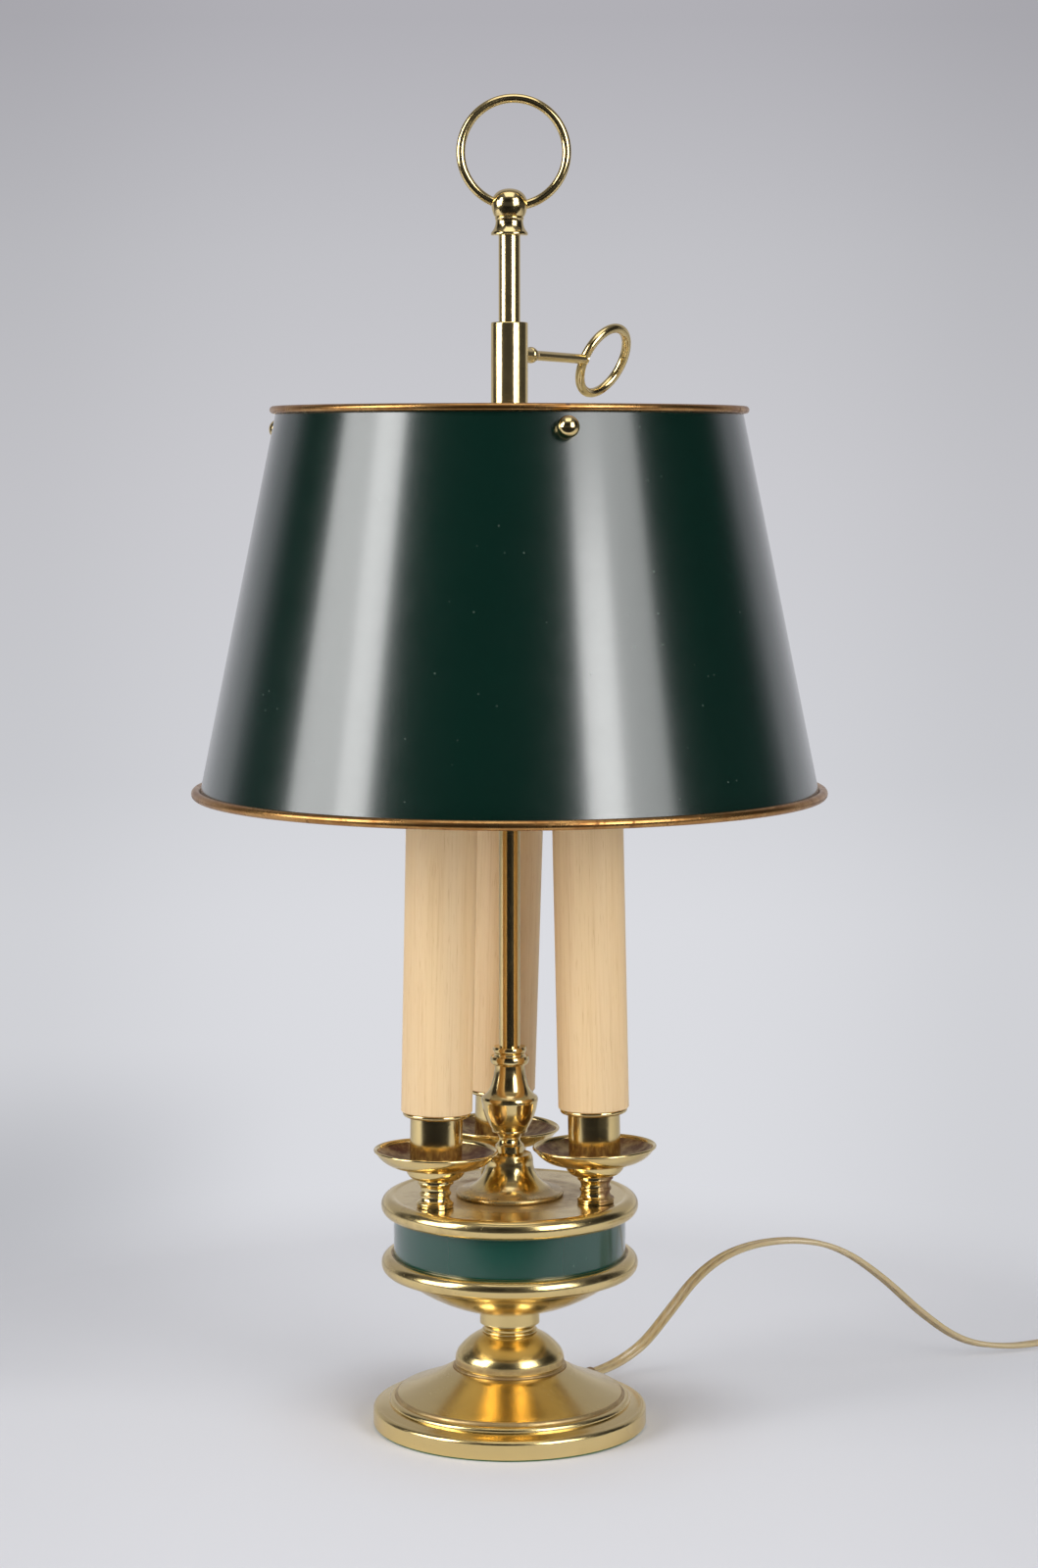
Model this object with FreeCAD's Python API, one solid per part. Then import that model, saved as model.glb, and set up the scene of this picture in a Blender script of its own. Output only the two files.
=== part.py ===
import FreeCAD, Part
import math
import os

# Bouillotte lamp, in millimetres. +Z is up, +X is to the right and -Y is the front.
# The origin is the middle of the felt underside, on the surface that the lamp stands on.

V = FreeCAD.Vector
UP = V(0, 0, 1)

# Clearances shared by all the pieces
RUNNING = 0.05          # between a sliding or turning piece and what it runs on
EASY = 0.2              # round a pipe or stud that passes through a hole
SPUN_WALL = 1.6         # wall of the spun brass shells

# Lamp pipe that clamps the base together
PIPE_R = 5.0
PIPE_BORE_R = 3.4
PIPE_NUT_H = 4.0
PIPE_NUT_FLATS = 14.3
PIPE_WASHER_R = 9.0
PIPE_WASHER_T = 1.2
PIPE_ABOVE_PLATE = 15.0

# Felt, foot and iron weight
FELT_T = 0.8
FELT_INSET = 0.9
FOOT_R = 61.8
FOOT_RIM_H = 8.4
FOOT_RIM_ROUND = 1.2
FOOT_H = 25.4
CONE_INSET = 10.4        # from the foot's side to the edge of its cone
CONE_R = FOOT_R - CONE_INSET
CONE_EDGE_H = 14.2
CONE_SAG = 1.0          # how far the cone's flank hollows below a straight line
WEIGHT_GAP = 0.8
WEIGHT_DISC_H = 9.2
WEIGHT_BOSS_R = 16.0
NUT_POCKET_R = 10.5
NUT_POCKET_H = 13.4

# Domed knob and collar ring between the foot and the drum
KNOB_R = 24.5
KNOB_H = 16.0
NECK_R = 13.5
NECK_WAIST_R = 11.5
NECK_H = 10.4

# Drum: brass tray, green band and brass plate
BAND_R = 52.3
BAND_T = 0.9
BAND_H = 21.5
TRAY_LEDGE_H = 24.0     # from the tray's underside to the ledge that the band stands on
BEAD_R = 4.45           # half thickness of the rolled beads
BEAD_PITCH_R = 53.5     # radius of the circle that the beads follow
PLATE_LIP_H = 7.0       # from the plate's ledge to its top

# Bell foot, baluster and rod
BELL_R = 24.3
BELL_TOP_R = 10.5
BELL_H = 19.0
BALUSTER_H = 48.6
BALUSTER_FOOT_R = 6.4
BALUSTER_R = 12.7
SPIGOT_R = 3.35
SPIGOT_L = 14.0
ROD_R = 4.76
ROD_SEAT_L = 12.0
ROD_SHOWN_L = 360.1
ROD_IN_FINIAL_L = 8.3

# Finial ball and ring
FINIAL_R = 7.9
FINIAL_H = 20.4         # from the skirt's underside to the top of the ball
FINIAL_CROWN_R = 10.9   # roundness of the ball's flattened top
FINIAL_SKIRT_R = 8.15
FINIAL_BALL_H = 13.6    # from the skirt's underside to the ball's widest round
TOP_RING_R = 23.2       # radius of the ring's centreline
TOP_RING_WIRE_R = 2.0
TOP_RING_H = 12.9       # from the skirt's underside to the lowest round of the ring
TOP_RING_LEAN = 4.6     # degrees to the right

# Candle arms
ARM_AZIMUTHS = {"left": 217.4, "right": 337.4, "rear": 97.4}
ARM_CIRCLE_R = 41.6
ARM_LEANS = {"left": 1.4, "right": 1.4, "rear": 1.7}
ARM_LEANS_TO = {"left": 37.4, "right": 157.4, "rear": 0.0}      # azimuth that each arm leans to
ARM_LIFTS = {"left": 0.0, "right": 0.0, "rear": -2.4}           # added to the height of the stem
NIPPLE_R = 4.8
NIPPLE_BORE_R = 3.2
NIPPLE_BELOW = 12.0
NIPPLE_IN_SOCKET = 7.0
NUT_H = 4.0
NUT_FLATS = 13.5
STEM_R = 8.1
STEM_WAIST_R = 6.5
STEM_H = 12.4
PAN_R = 27.6
PAN_H = 13.5
PAN_FLOOR_H = 7.3       # from the pan's underside to its floor
CUP_R = 11.6
CUP_LIP_R = 14.95
CUP_LIP_T = 2.2
CUP_H = 23.4
CUP_WALL = 1.2
SLEEVE_R = 15.75
SLEEVE_WALL = 1.3
SLEEVE_L = 152.0
SOCKET_R = 14.2
SOCKET_WALL = 0.85
SOCKET_L = 46.0
SOCKET_FLOOR = 17.0
SOCKET_BELOW_TOP = 0.6
BULB_BASE_R = 13.2
BULB_BASE_L = 26.0
BULB_R = 17.5
BULB_NECK_R = 12.8
BULB_L = 66.0
BULB_WALL = 0.9

# Shade and its carrier
SHADE_TOP_R = 102.6
SHADE_BOTTOM_R = 137.4
SHADE_H = 168.6
SHADE_T = 0.6
TOP_BEAD_R = 1.6
BOTTOM_BEAD_R = 2.1
BEAD_BITE = 0.3         # how far the sheet's edge is let into a rim bead
COLLAR_R = 8.15
COLLAR_L = 58.0
COLLAR_CHAMFER = 0.8
COLLAR_DROP = 37.7      # from the finial's skirt to the collar's top, as photographed
SHADE_DROP = 38.4       # from the collar's top to the shade's top edge
BUSH_WALL = 1.4
BUSH_L = 8.0
BUSH_INSET = 0.5
SPIDER_AZIMUTHS = (-77.0, 43.0, 163.0)
SPIDER_HUB_R = 12.5
SPIDER_HUB_H = 7.0
SPIDER_ARM_R = 2.0
SPIDER_BELOW_TOP = 8.2  # from the shade's top edge down to the arms
STUD_R = 1.5
STUD_L = 5.0
BALL_R = 4.7
BALL_STANDOFF = 4.2

# Thumb key that clamps the collar on the rod
KEY_AZIMUTH = 56.0
KEY_DROP = 13.6         # from the collar's top to the key's axis
KEY_DROOP = 1.0         # degrees below level, at its outer end
KEY_BOSS_R = 3.6
KEY_BOSS_REACH = 18.2   # from the rod's axis
KEY_SCREW_R = 2.5
KEY_TIP_GAP = 0.3
KEY_SHANK_R = 2.2
KEY_SHOULDER_L = 2.6
KEY_RING_R = 16.2
KEY_RING_WIRE_R = 2.15
KEY_RING_REACH = 76.7   # from the rod's axis to the middle of the ring
KEY_RING_ROLL = 64.1    # degrees from level to the plane of the ring

# Flat twin cord, drawn as a round of its width
CORD_W = 5.2
CORD_T = 2.7
CORD_AZIMUTH = 58.0     # where it leaves the foot, behind on the right
CORD_EXIT_H = 4.2       # above the felt
BUSHING_R = 3.7
BUSHING_TIP_R = 3.15
BUSHING_OUT_L = 10.2
BUSHING_IN_L = 4.0
CORD_RISE_R = 5.0
CORD_WINDOW_Z = 84.0
CORD_IN_DRUM_L = 14.0
CORD_ROUTE = (          # after the bushing, one arch up and down to the floor, then the switch
    (44.6, 69.6, 4.6), (54.1, 78.0, 7.2), (64.3, 83.4, 13.5), (75.3, 86.0, 27.0),
    (91.0, 85.5, 48.2), (110.0, 86.3, 60.0), (135.4, 90.0, 63.1), (158.4, 95.5, 57.5),
    (180.0, 100.8, 41.5), (199.0, 105.5, 22.6), (220.0, 110.1, 6.8), (242.5, 115.5, 2.8),
    (261.5, 123.5, 2.9), (277.5, 130.5, 3.6), (290.5, 134.5, 6.2), (302.0, 136.0, 8.0),
)
SWITCH_START = (313.0, 136.0, 8.0)

# Inline rotary switch on the cord
SWITCH_L = 58.0
SWITCH_W = 23.0
SWITCH_H = 16.0
SWITCH_ROUND = 3.2
WHEEL_R = 10.0
WHEEL_T = 4.4
WHEEL_PROUD = 2.4
WHEEL_GAP = 0.4
WHEEL_PIN_R = 1.6

# Stored coil, its tie and the plug
COIL_CENTRE = (363.0, 72.0)
COIL_OUTER_R = 40.0
COIL_INNER_R = 22.7
COIL_TURNS_DOWN = 3
COIL_TURNS_UP = 2.75
COIL_GAP = 0.6
COIL_DIP = 1.4          # how far the climbing half turn draws in
TIE_T = 0.6
TIE_W = 6.0
TIE_GAP = 0.35
PLUG_REAR = (321.0, 31.5, 5.6)
PLUG_L = 27.0
PLUG_W = 24.0
PLUG_H = 11.0
PLUG_ROUND = 2.5
PLUG_TAIL_L = 10.0
BLADE_L = 17.5
BLADE_W = 6.3
BLADE_T = 1.5
BLADE_SPACING = 12.7
BLADE_HOLE_R = 1.6

# Levels worked out from the sizes above
FOOT_SEAT_Z = FELT_T + FOOT_H
NECK_Z = FOOT_SEAT_Z + KNOB_H
TRAY_Z = NECK_Z + NECK_H
BAND_Z = TRAY_Z + TRAY_LEDGE_H
PLATE_LEDGE_Z = BAND_Z + BAND_H
PLATE_TOP_Z = PLATE_LEDGE_Z + PLATE_LIP_H
BALUSTER_Z = PLATE_TOP_Z + BELL_H
ROD_Z = BALUSTER_Z + BALUSTER_H
FINIAL_Z = ROD_Z + ROD_SHOWN_L
COLLAR_TOP_Z = FINIAL_Z - COLLAR_DROP
COLLAR_Z = COLLAR_TOP_Z - COLLAR_L
KEY_Z = COLLAR_TOP_Z - KEY_DROP
SHADE_TOP_Z = COLLAR_TOP_Z - SHADE_DROP
SHADE_Z = SHADE_TOP_Z - SHADE_H
SPIDER_Z = SHADE_TOP_Z - SPIDER_BELOW_TOP
CORD_Z = FELT_T + CORD_EXIT_H
CUP_Z = STEM_H + PAN_FLOOR_H            # the arms' heights are above the plate's top
LIP_Z = CUP_Z + CUP_H
SLEEVE_TOP_Z = LIP_Z + SLEEVE_L
SOCKET_Z = SLEEVE_TOP_Z - SOCKET_BELOW_TOP - SOCKET_L
BULB_Z = SLEEVE_TOP_Z

parts = {}


def turned(*outline):
    """Solid of revolution about Z. A point is (radius, height); a pair of points is an arc
    through the first to the second."""
    here = V(outline[0][0], 0, outline[0][1])
    start = here
    edges = []
    for step in outline[1:]:
        if isinstance(step[0], tuple):
            middle, end = (V(r, 0, z) for r, z in step)
            edges.append(Part.Arc(here, middle, end).toShape())
        else:
            end = V(step[0], 0, step[1])
            edges.append(Part.LineSegment(here, end).toShape())
        here = end
    if (here - start).Length > 1e-6:
        edges.append(Part.LineSegment(here, start).toShape())
    return Part.Face(Part.Wire(edges)).revolve(V(0, 0, 0), UP, 360)


def rod(radius, start, end):
    """Round bar between two points."""
    line = end - start
    return Part.makeCylinder(radius, line.Length, start, line)


def block(low, high):
    """Box between two corners."""
    size = V(*high) - V(*low)
    return Part.makeBox(size.x, size.y, size.z, V(*low))


def tube(outer, inner, z, height):
    """Straight round tube about Z."""
    return Part.makeCylinder(outer, height, V(0, 0, z)).cut(Part.makeCylinder(inner, height, V(0, 0, z)))


def hex_nut(flats, bore, height):
    """Hexagon nut standing on the level z = 0."""
    corner = flats / math.sqrt(3)
    ring = [V(corner * math.cos(math.radians(a)), corner * math.sin(math.radians(a)), 0)
            for a in range(0, 361, 60)]
    return Part.Face(Part.makePolygon(ring)).extrude(UP * height).cut(Part.makeCylinder(bore, height))


def at_azimuth(shape, azimuth):
    """Copy of a shape turned about the lamp's axis."""
    turned_shape = shape.copy()
    turned_shape.rotate(V(0, 0, 0), UP, azimuth)
    return turned_shape


def on_arm(shape, side):
    """Copy of a shape moved from the arm's own axis to its place on the plate, leaning."""
    place, heading = math.radians(ARM_AZIMUTHS[side]), math.radians(ARM_LEANS_TO[side])
    placed = shape.copy()
    placed.rotate(V(0, 0, 0), V(-math.sin(heading), math.cos(heading), 0), ARM_LEANS[side])
    placed.translate(V(ARM_CIRCLE_R * math.cos(place), ARM_CIRCLE_R * math.sin(place), PLATE_TOP_Z))
    return placed


def shade_radius(z):
    """Outer radius of the shade's sheet at a height."""
    return SHADE_BOTTOM_R + (SHADE_TOP_R - SHADE_BOTTOM_R) * (z - SHADE_Z) / SHADE_H


def rounded_bar(low, high, radius):
    """Box with all its edges rounded."""
    bar = block(low, high)
    return bar.makeFillet(radius, bar.Edges)


def bent_path(points):
    """Straight runs joined by tangent arcs, each as large as its two runs allow."""
    edges, radii = [], []
    here = points[0]
    for before, corner, after in zip(points, points[1:], points[2:]):
        into, out = corner - before, after - corner
        turn = into.getAngle(out)
        cut = 0.45 * min(into.Length, out.Length)
        radii.append(cut / math.tan(turn / 2))
        into.normalize()
        out.normalize()
        start, end = corner - into * cut, corner + out * cut
        inward = (start + end) * 0.5 - corner
        inward.normalize()
        middle = corner + inward * (math.hypot(radii[-1], cut) - radii[-1])
        edges.append(Part.LineSegment(here, start).toShape())
        edges.append(Part.Arc(start, middle, end).toShape())
        here = end
    edges.append(Part.LineSegment(here, points[-1]).toShape())
    return Part.Wire(edges), radii


def swept(path, radius):
    """Round bar along a wire."""
    first = path.Edges[0]
    heading = first.tangentAt(first.FirstParameter)
    section = Part.Wire(Part.makeCircle(radius, first.valueAt(first.FirstParameter), heading))
    return path.makePipeShell([section], True, False)


def biarc(p0, t0, p1, t1):
    """Two arcs that leave p0 along t0 and reach p1 along t1."""
    chord = p1 - p0
    both = t0 + t1
    a = 2 * (1 - t0.dot(t1))
    b = 2 * chord.dot(both)
    if abs(a) < 1e-9:
        reach = chord.dot(chord) / (2 * chord.dot(t1) * 2)
    else:
        reach = (-b + math.sqrt(b * b + 4 * a * chord.dot(chord))) / (2 * a)
    joint = (p0 + t0 * reach + p1 - t1 * reach) * 0.5
    return [tangent_arc(p0, t0, joint), tangent_arc(p1, t1 * -1, joint, True)]


def tangent_arc(start, tangent, end, backwards=False):
    """Arc from start along a tangent to end, or a straight run where the two are in line."""
    chord = end - start
    angle = tangent.getAngle(chord)
    if angle < 1e-5:
        return Part.LineSegment(*((end, start) if backwards else (start, end))).toShape()
    across = tangent - chord * (tangent.dot(chord) / chord.dot(chord))
    across.normalize()
    middle = (start + end) * 0.5 + across * (chord.Length / 2 * math.tan(angle / 2))
    return Part.Arc(*((end, middle, start) if backwards else (start, middle, end))).toShape()


def make_base():
    """Felt, foot shell, iron weight, and the pipe with its washer and nut."""
    parts["felt_pad"] = Part.makeCylinder(FOOT_R - FELT_INSET, FELT_T)

    z = FELT_T
    outside = turned(
        (0, z), (FOOT_R, z), (FOOT_R, z + FOOT_RIM_H - FOOT_RIM_ROUND),
        ((FOOT_R - 0.3 * FOOT_RIM_ROUND, z + FOOT_RIM_H - 0.3 * FOOT_RIM_ROUND),
         (FOOT_R - FOOT_RIM_ROUND, z + FOOT_RIM_H)),
        ((CONE_R + 6.6, z + FOOT_RIM_H + 0.6), (CONE_R + 3.2, z + CONE_EDGE_H - 3.8)),
        ((CONE_R + 2.8, z + CONE_EDGE_H - 2.0), (CONE_R + 1.4, z + CONE_EDGE_H - 1.4)),
        (CONE_R + 0.5, z + CONE_EDGE_H - 1.3), (CONE_R, z + CONE_EDGE_H),
        (((CONE_R + KNOB_R + 1.6) / 2, z + (CONE_EDGE_H + FOOT_H) / 2 - CONE_SAG),
         (KNOB_R + 1.6, z + FOOT_H)),
        (0, z + FOOT_H))
    inside = turned(
        (0, z), (FOOT_R - SPUN_WALL, z), (FOOT_R - SPUN_WALL, z + FOOT_RIM_H - SPUN_WALL - 0.3),
        (CONE_R - 1.0, z + CONE_EDGE_H - 1.4 - SPUN_WALL), (KNOB_R, z + FOOT_H - SPUN_WALL),
        (0, z + FOOT_H - SPUN_WALL))
    pipe_hole = Part.makeCylinder(PIPE_R + EASY, FOOT_H + z)
    wall_hole = rod(BUSHING_R, V(CONE_R, 0, CORD_Z), V(FOOT_R + 1, 0, CORD_Z))
    shell = outside.cut(inside).cut(pipe_hole).cut(at_azimuth(wall_hole, CORD_AZIMUTH))
    parts["foot"] = shell

    edge = FOOT_R - SPUN_WALL - WEIGHT_GAP
    weight = turned(
        (0, z), (edge, z), (edge, z + FOOT_RIM_H - SPUN_WALL - 1.2),
        (CONE_R - 3.0, z + WEIGHT_DISC_H), (WEIGHT_BOSS_R, z + WEIGHT_DISC_H),
        (WEIGHT_BOSS_R - 0.8, z + FOOT_H - SPUN_WALL), (0, z + FOOT_H - SPUN_WALL))
    channel = block((0, -BUSHING_R - EASY, 0), (FOOT_R, BUSHING_R + EASY, CORD_Z + BUSHING_R))
    parts["base_weight"] = weight.cut(pipe_hole).cut(at_azimuth(channel, CORD_AZIMUTH)).cut(
        Part.makeCylinder(NUT_POCKET_R, NUT_POCKET_H, V(0, 0, z)))

    washer_z = z + NUT_POCKET_H - PIPE_WASHER_T
    nut = hex_nut(PIPE_NUT_FLATS, PIPE_R + RUNNING, PIPE_NUT_H)
    nut.translate(V(0, 0, washer_z - PIPE_NUT_H))
    washer = tube(PIPE_WASHER_R, PIPE_R + EASY, washer_z, PIPE_WASHER_T)
    parts["pipe_nut_and_washer"] = Part.makeCompound([nut, washer])

    pipe_z = washer_z - PIPE_NUT_H - 0.4
    pipe = tube(PIPE_R, PIPE_BORE_R, pipe_z, PLATE_TOP_Z + PIPE_ABOVE_PLATE - pipe_z)
    window = block((0, -CORD_W / 2 - 0.5, CORD_WINDOW_Z),
                   (PIPE_R + 1, CORD_W / 2 + 0.5, CORD_WINDOW_Z + CORD_RISE_R + CORD_T))
    parts["threaded_pipe"] = pipe.cut(at_azimuth(window, CORD_AZIMUTH))


def make_knob_and_neck():
    """Hollow domed knob on the foot and the turned ring that carries the drum."""
    z = FOOT_SEAT_Z
    hole = Part.makeCylinder(PIPE_R + EASY, PLATE_TOP_Z)
    dome = turned(
        (0, z), (KNOB_R + 0.9, z), ((KNOB_R + 1.1, z + 0.5), (KNOB_R + 0.7, z + 1.0)),
        (KNOB_R - 0.1, z + 1.3),
        ((KNOB_R + 0.1, z + 4.0), (KNOB_R - 1.9, z + 8.6)),
        ((KNOB_R - 5.6, z + 12.9), (NECK_WAIST_R + 1.2, z + KNOB_H)), (0, z + KNOB_H))
    hollow = turned(
        (0, z), (KNOB_R - SPUN_WALL - 0.4, z),
        ((KNOB_R - SPUN_WALL - 0.4, z + 5.0), (KNOB_R - 4.0, z + 9.0)),
        (NECK_WAIST_R, z + KNOB_H - SPUN_WALL - 0.6), (0, z + KNOB_H - SPUN_WALL - 0.6))
    parts["foot_knob"] = dome.cut(hollow).cut(hole)

    z = NECK_Z
    ring = turned(
        (0, z), (NECK_WAIST_R + 0.6, z), ((NECK_WAIST_R + 1.0, z + 0.7), (NECK_WAIST_R + 0.5, z + 1.4)),
        (NECK_WAIST_R, z + 1.7), ((NECK_WAIST_R + 0.5, z + 3.3), (NECK_R - 0.1, z + 4.2)),
        (NECK_R, z + 4.6), (NECK_R, z + NECK_H), (0, z + NECK_H))
    parts["neck_ring"] = ring.cut(hole)


def bead_point(level, degrees):
    """Point on a drum bead's round, as radius and height."""
    angle = math.radians(degrees)
    return BEAD_PITCH_R + BEAD_R * math.cos(angle), level + BEAD_R * math.sin(angle)


def make_drum():
    """Brass tray, green band and brass plate; the band stands in a ledge at each end."""
    hole = Part.makeCylinder(PIPE_R + EASY, PLATE_TOP_Z + 1)
    seat_r = BAND_R + RUNNING
    ledge_r = BAND_R - BAND_T - 1.4
    seat_angle = math.degrees(math.acos((seat_r - BEAD_PITCH_R) / BEAD_R))

    z, bead_z = TRAY_Z, BAND_Z - 2.2
    bowl_end = bead_point(bead_z, -125)
    parts["drum_tray"] = turned(
        (PIPE_R + EASY, z), (NECK_R, z),
        ((32.0, z + 5.7), (bowl_end[0] - 0.9, bowl_end[1] - 1.2)), bowl_end,
        (bead_point(bead_z, 0), bead_point(bead_z, seat_angle)),
        (seat_r, BAND_Z), (ledge_r, BAND_Z), (ledge_r - 0.4, bowl_end[1] + 0.8),
        ((31.4, z + 7.6), (NECK_R - 0.6, z + SPUN_WALL)), (PIPE_R + EASY, z + SPUN_WALL))

    parts["drum_band"] = tube(BAND_R, BAND_R - BAND_T, BAND_Z, BAND_H)

    z, bead_z = PLATE_LEDGE_Z, PLATE_TOP_Z - BEAD_R + 0.35
    rim_start = bead_point(bead_z, 112)
    plate = turned(
        (PIPE_R + EASY, PLATE_TOP_Z), (rim_start[0] - 0.7, PLATE_TOP_Z), rim_start,
        (bead_point(bead_z, 0), bead_point(bead_z, -seat_angle)),
        (seat_r, z), (ledge_r, z), (ledge_r, PLATE_TOP_Z - SPUN_WALL),
        (PIPE_R + EASY, PLATE_TOP_Z - SPUN_WALL))
    nipple_hole = Part.makeCylinder(NIPPLE_R + EASY, 3 * PLATE_LIP_H, V(0, 0, -2 * PLATE_LIP_H))
    for side in ARM_AZIMUTHS:
        plate = plate.cut(on_arm(nipple_hole, side))
    parts["drum_plate"] = plate.cut(hole)


def make_column():
    """Bell foot, baluster with its spigot, and the rod that the shade slides on."""
    z = PLATE_TOP_Z
    bell = turned(
        (0, z), (BELL_R - 1.0, z), ((BELL_R, z + 1.2), (BELL_R - 1.1, z + 2.3)),
        ((14.4, z + 6.4), (BELL_TOP_R + 0.1, z + 15.0)),
        ((BELL_TOP_R - 0.2, z + BELL_H - 1.6), (BELL_TOP_R - 0.8, z + BELL_H)), (0, z + BELL_H))
    hollow = turned(
        (0, z), (BELL_R - 3.4, z), ((12.2, z + 5.0), (BELL_TOP_R - 2.8, z + 15.0)),
        (BELL_TOP_R - 2.8, z + BELL_H - SPUN_WALL), (0, z + BELL_H - SPUN_WALL))
    parts["bell_foot"] = bell.cut(hollow).cut(Part.makeCylinder(PIPE_R + EASY, BELL_H, V(0, 0, z)))

    z, r = BALUSTER_Z, BALUSTER_R
    baluster = turned(
        (0, z - SPIGOT_L), (SPIGOT_R, z - SPIGOT_L), (SPIGOT_R, z), (BALUSTER_FOOT_R, z),
        (BALUSTER_FOOT_R, z + 4.0), ((5.2, z + 5.2), (4.9, z + 7.6)), (5.9, z + 9.4), (7.3, z + 9.7),
        (8.0, z + 10.2), (7.95, z + 11.0),
        ((r - 1.9, z + 16.4), (r - 0.15, z + 23.2)), (r, z + 24.8), (r - 0.3, z + 26.0),
        ((r - 3.0, z + 28.4), (8.1, z + 32.0)),
        ((7.2, z + 35.5), (6.7, z + 40.3)), (8.3, z + 41.2), ((8.6, z + 42.7), (8.3, z + 44.3)),
        ((6.8, z + 45.0), (7.2, z + 46.2)), ((7.5, z + 47.3), (7.1, z + BALUSTER_H)),
        (0, z + BALUSTER_H))
    seat = Part.makeCylinder(ROD_R + RUNNING, ROD_SEAT_L, V(0, 0, ROD_Z - ROD_SEAT_L))
    parts["baluster"] = baluster.cut(seat)

    rod_z = ROD_Z - ROD_SEAT_L
    parts["centre_rod"] = Part.makeCylinder(
        ROD_R, ROD_SEAT_L + ROD_SHOWN_L + ROD_IN_FINIAL_L, V(0, 0, rod_z))


def make_finial():
    """Ball finial on a flared skirt, with the ring brazed through the ball."""
    z = FINIAL_Z
    ball_z, top = z + FINIAL_BALL_H, z + FINIAL_H
    crown_edge = FINIAL_R - 4.6

    def crown(radius):
        """Point on the flattened top, as radius and height."""
        return radius, top - FINIAL_CROWN_R + math.sqrt(FINIAL_CROWN_R ** 2 - radius ** 2)

    finial = turned(
        (0, z), (FINIAL_SKIRT_R - 0.6, z), (FINIAL_SKIRT_R, z + 0.6), (FINIAL_SKIRT_R - 0.1, z + 1.3),
        ((6.7, z + 3.2), (6.05, z + 5.7)), (6.3, z + 7.1), (6.35, z + 7.7), (6.15, z + 8.0),
        (6.65, z + 8.3), ((FINIAL_R - 0.3, z + 10.9), (FINIAL_R, ball_z)),
        ((FINIAL_R - 1.26, ball_z + 3.9), crown(crown_edge)), (crown(crown_edge / 2), (0, top)))
    ring = Part.makeTorus(TOP_RING_R, TOP_RING_WIRE_R, V(0, 0, TOP_RING_R), V(0, 1, 0))
    ring.rotate(V(0, 0, 0), V(0, 1, 0), TOP_RING_LEAN)
    ring.translate(V(0, 0, z + TOP_RING_H))
    parts["finial_ring"] = ring
    parts["finial_ball"] = finial.cut(
        Part.makeCylinder(ROD_R + RUNNING, ROD_IN_FINIAL_L, V(0, 0, z))).cut(ring)


def candle_bulb(neck_r, widest_r, tip_z):
    """Solid of a flame-shaped bulb from its neck to its tip."""
    z = BULB_Z
    return turned(
        (0, z), (neck_r, z), (neck_r, z + 1.5), ((widest_r - 0.5, z + 12.0), (widest_r, z + 22.0)),
        ((widest_r - 3.3, z + BULB_L * 0.7), (widest_r - 15.0, tip_z - 1.6)), (widest_r - 16.3, tip_z),
        (0, tip_z))


def arm_stem(top):
    """Solid of an arm's stem, from below the plate to its top."""
    return turned(
        (0, -2), (STEM_R, -2), (STEM_R, 1.3), ((STEM_R + 0.2, 1.9), (STEM_R - 0.4, 2.5)),
        ((STEM_WAIST_R + 0.2, 3.6), (STEM_WAIST_R, top - 6.8)), (STEM_WAIST_R + 0.5, top - 6.3),
        (STEM_WAIST_R + 0.5, top - 5.6), (STEM_WAIST_R, top - 5.2),
        ((STEM_WAIST_R + 0.1, top - 3.2), (STEM_R - 0.5, top - 1.8)), (STEM_R - 0.1, top - 1.4),
        (STEM_R - 0.1, top), (0, top))


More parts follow.
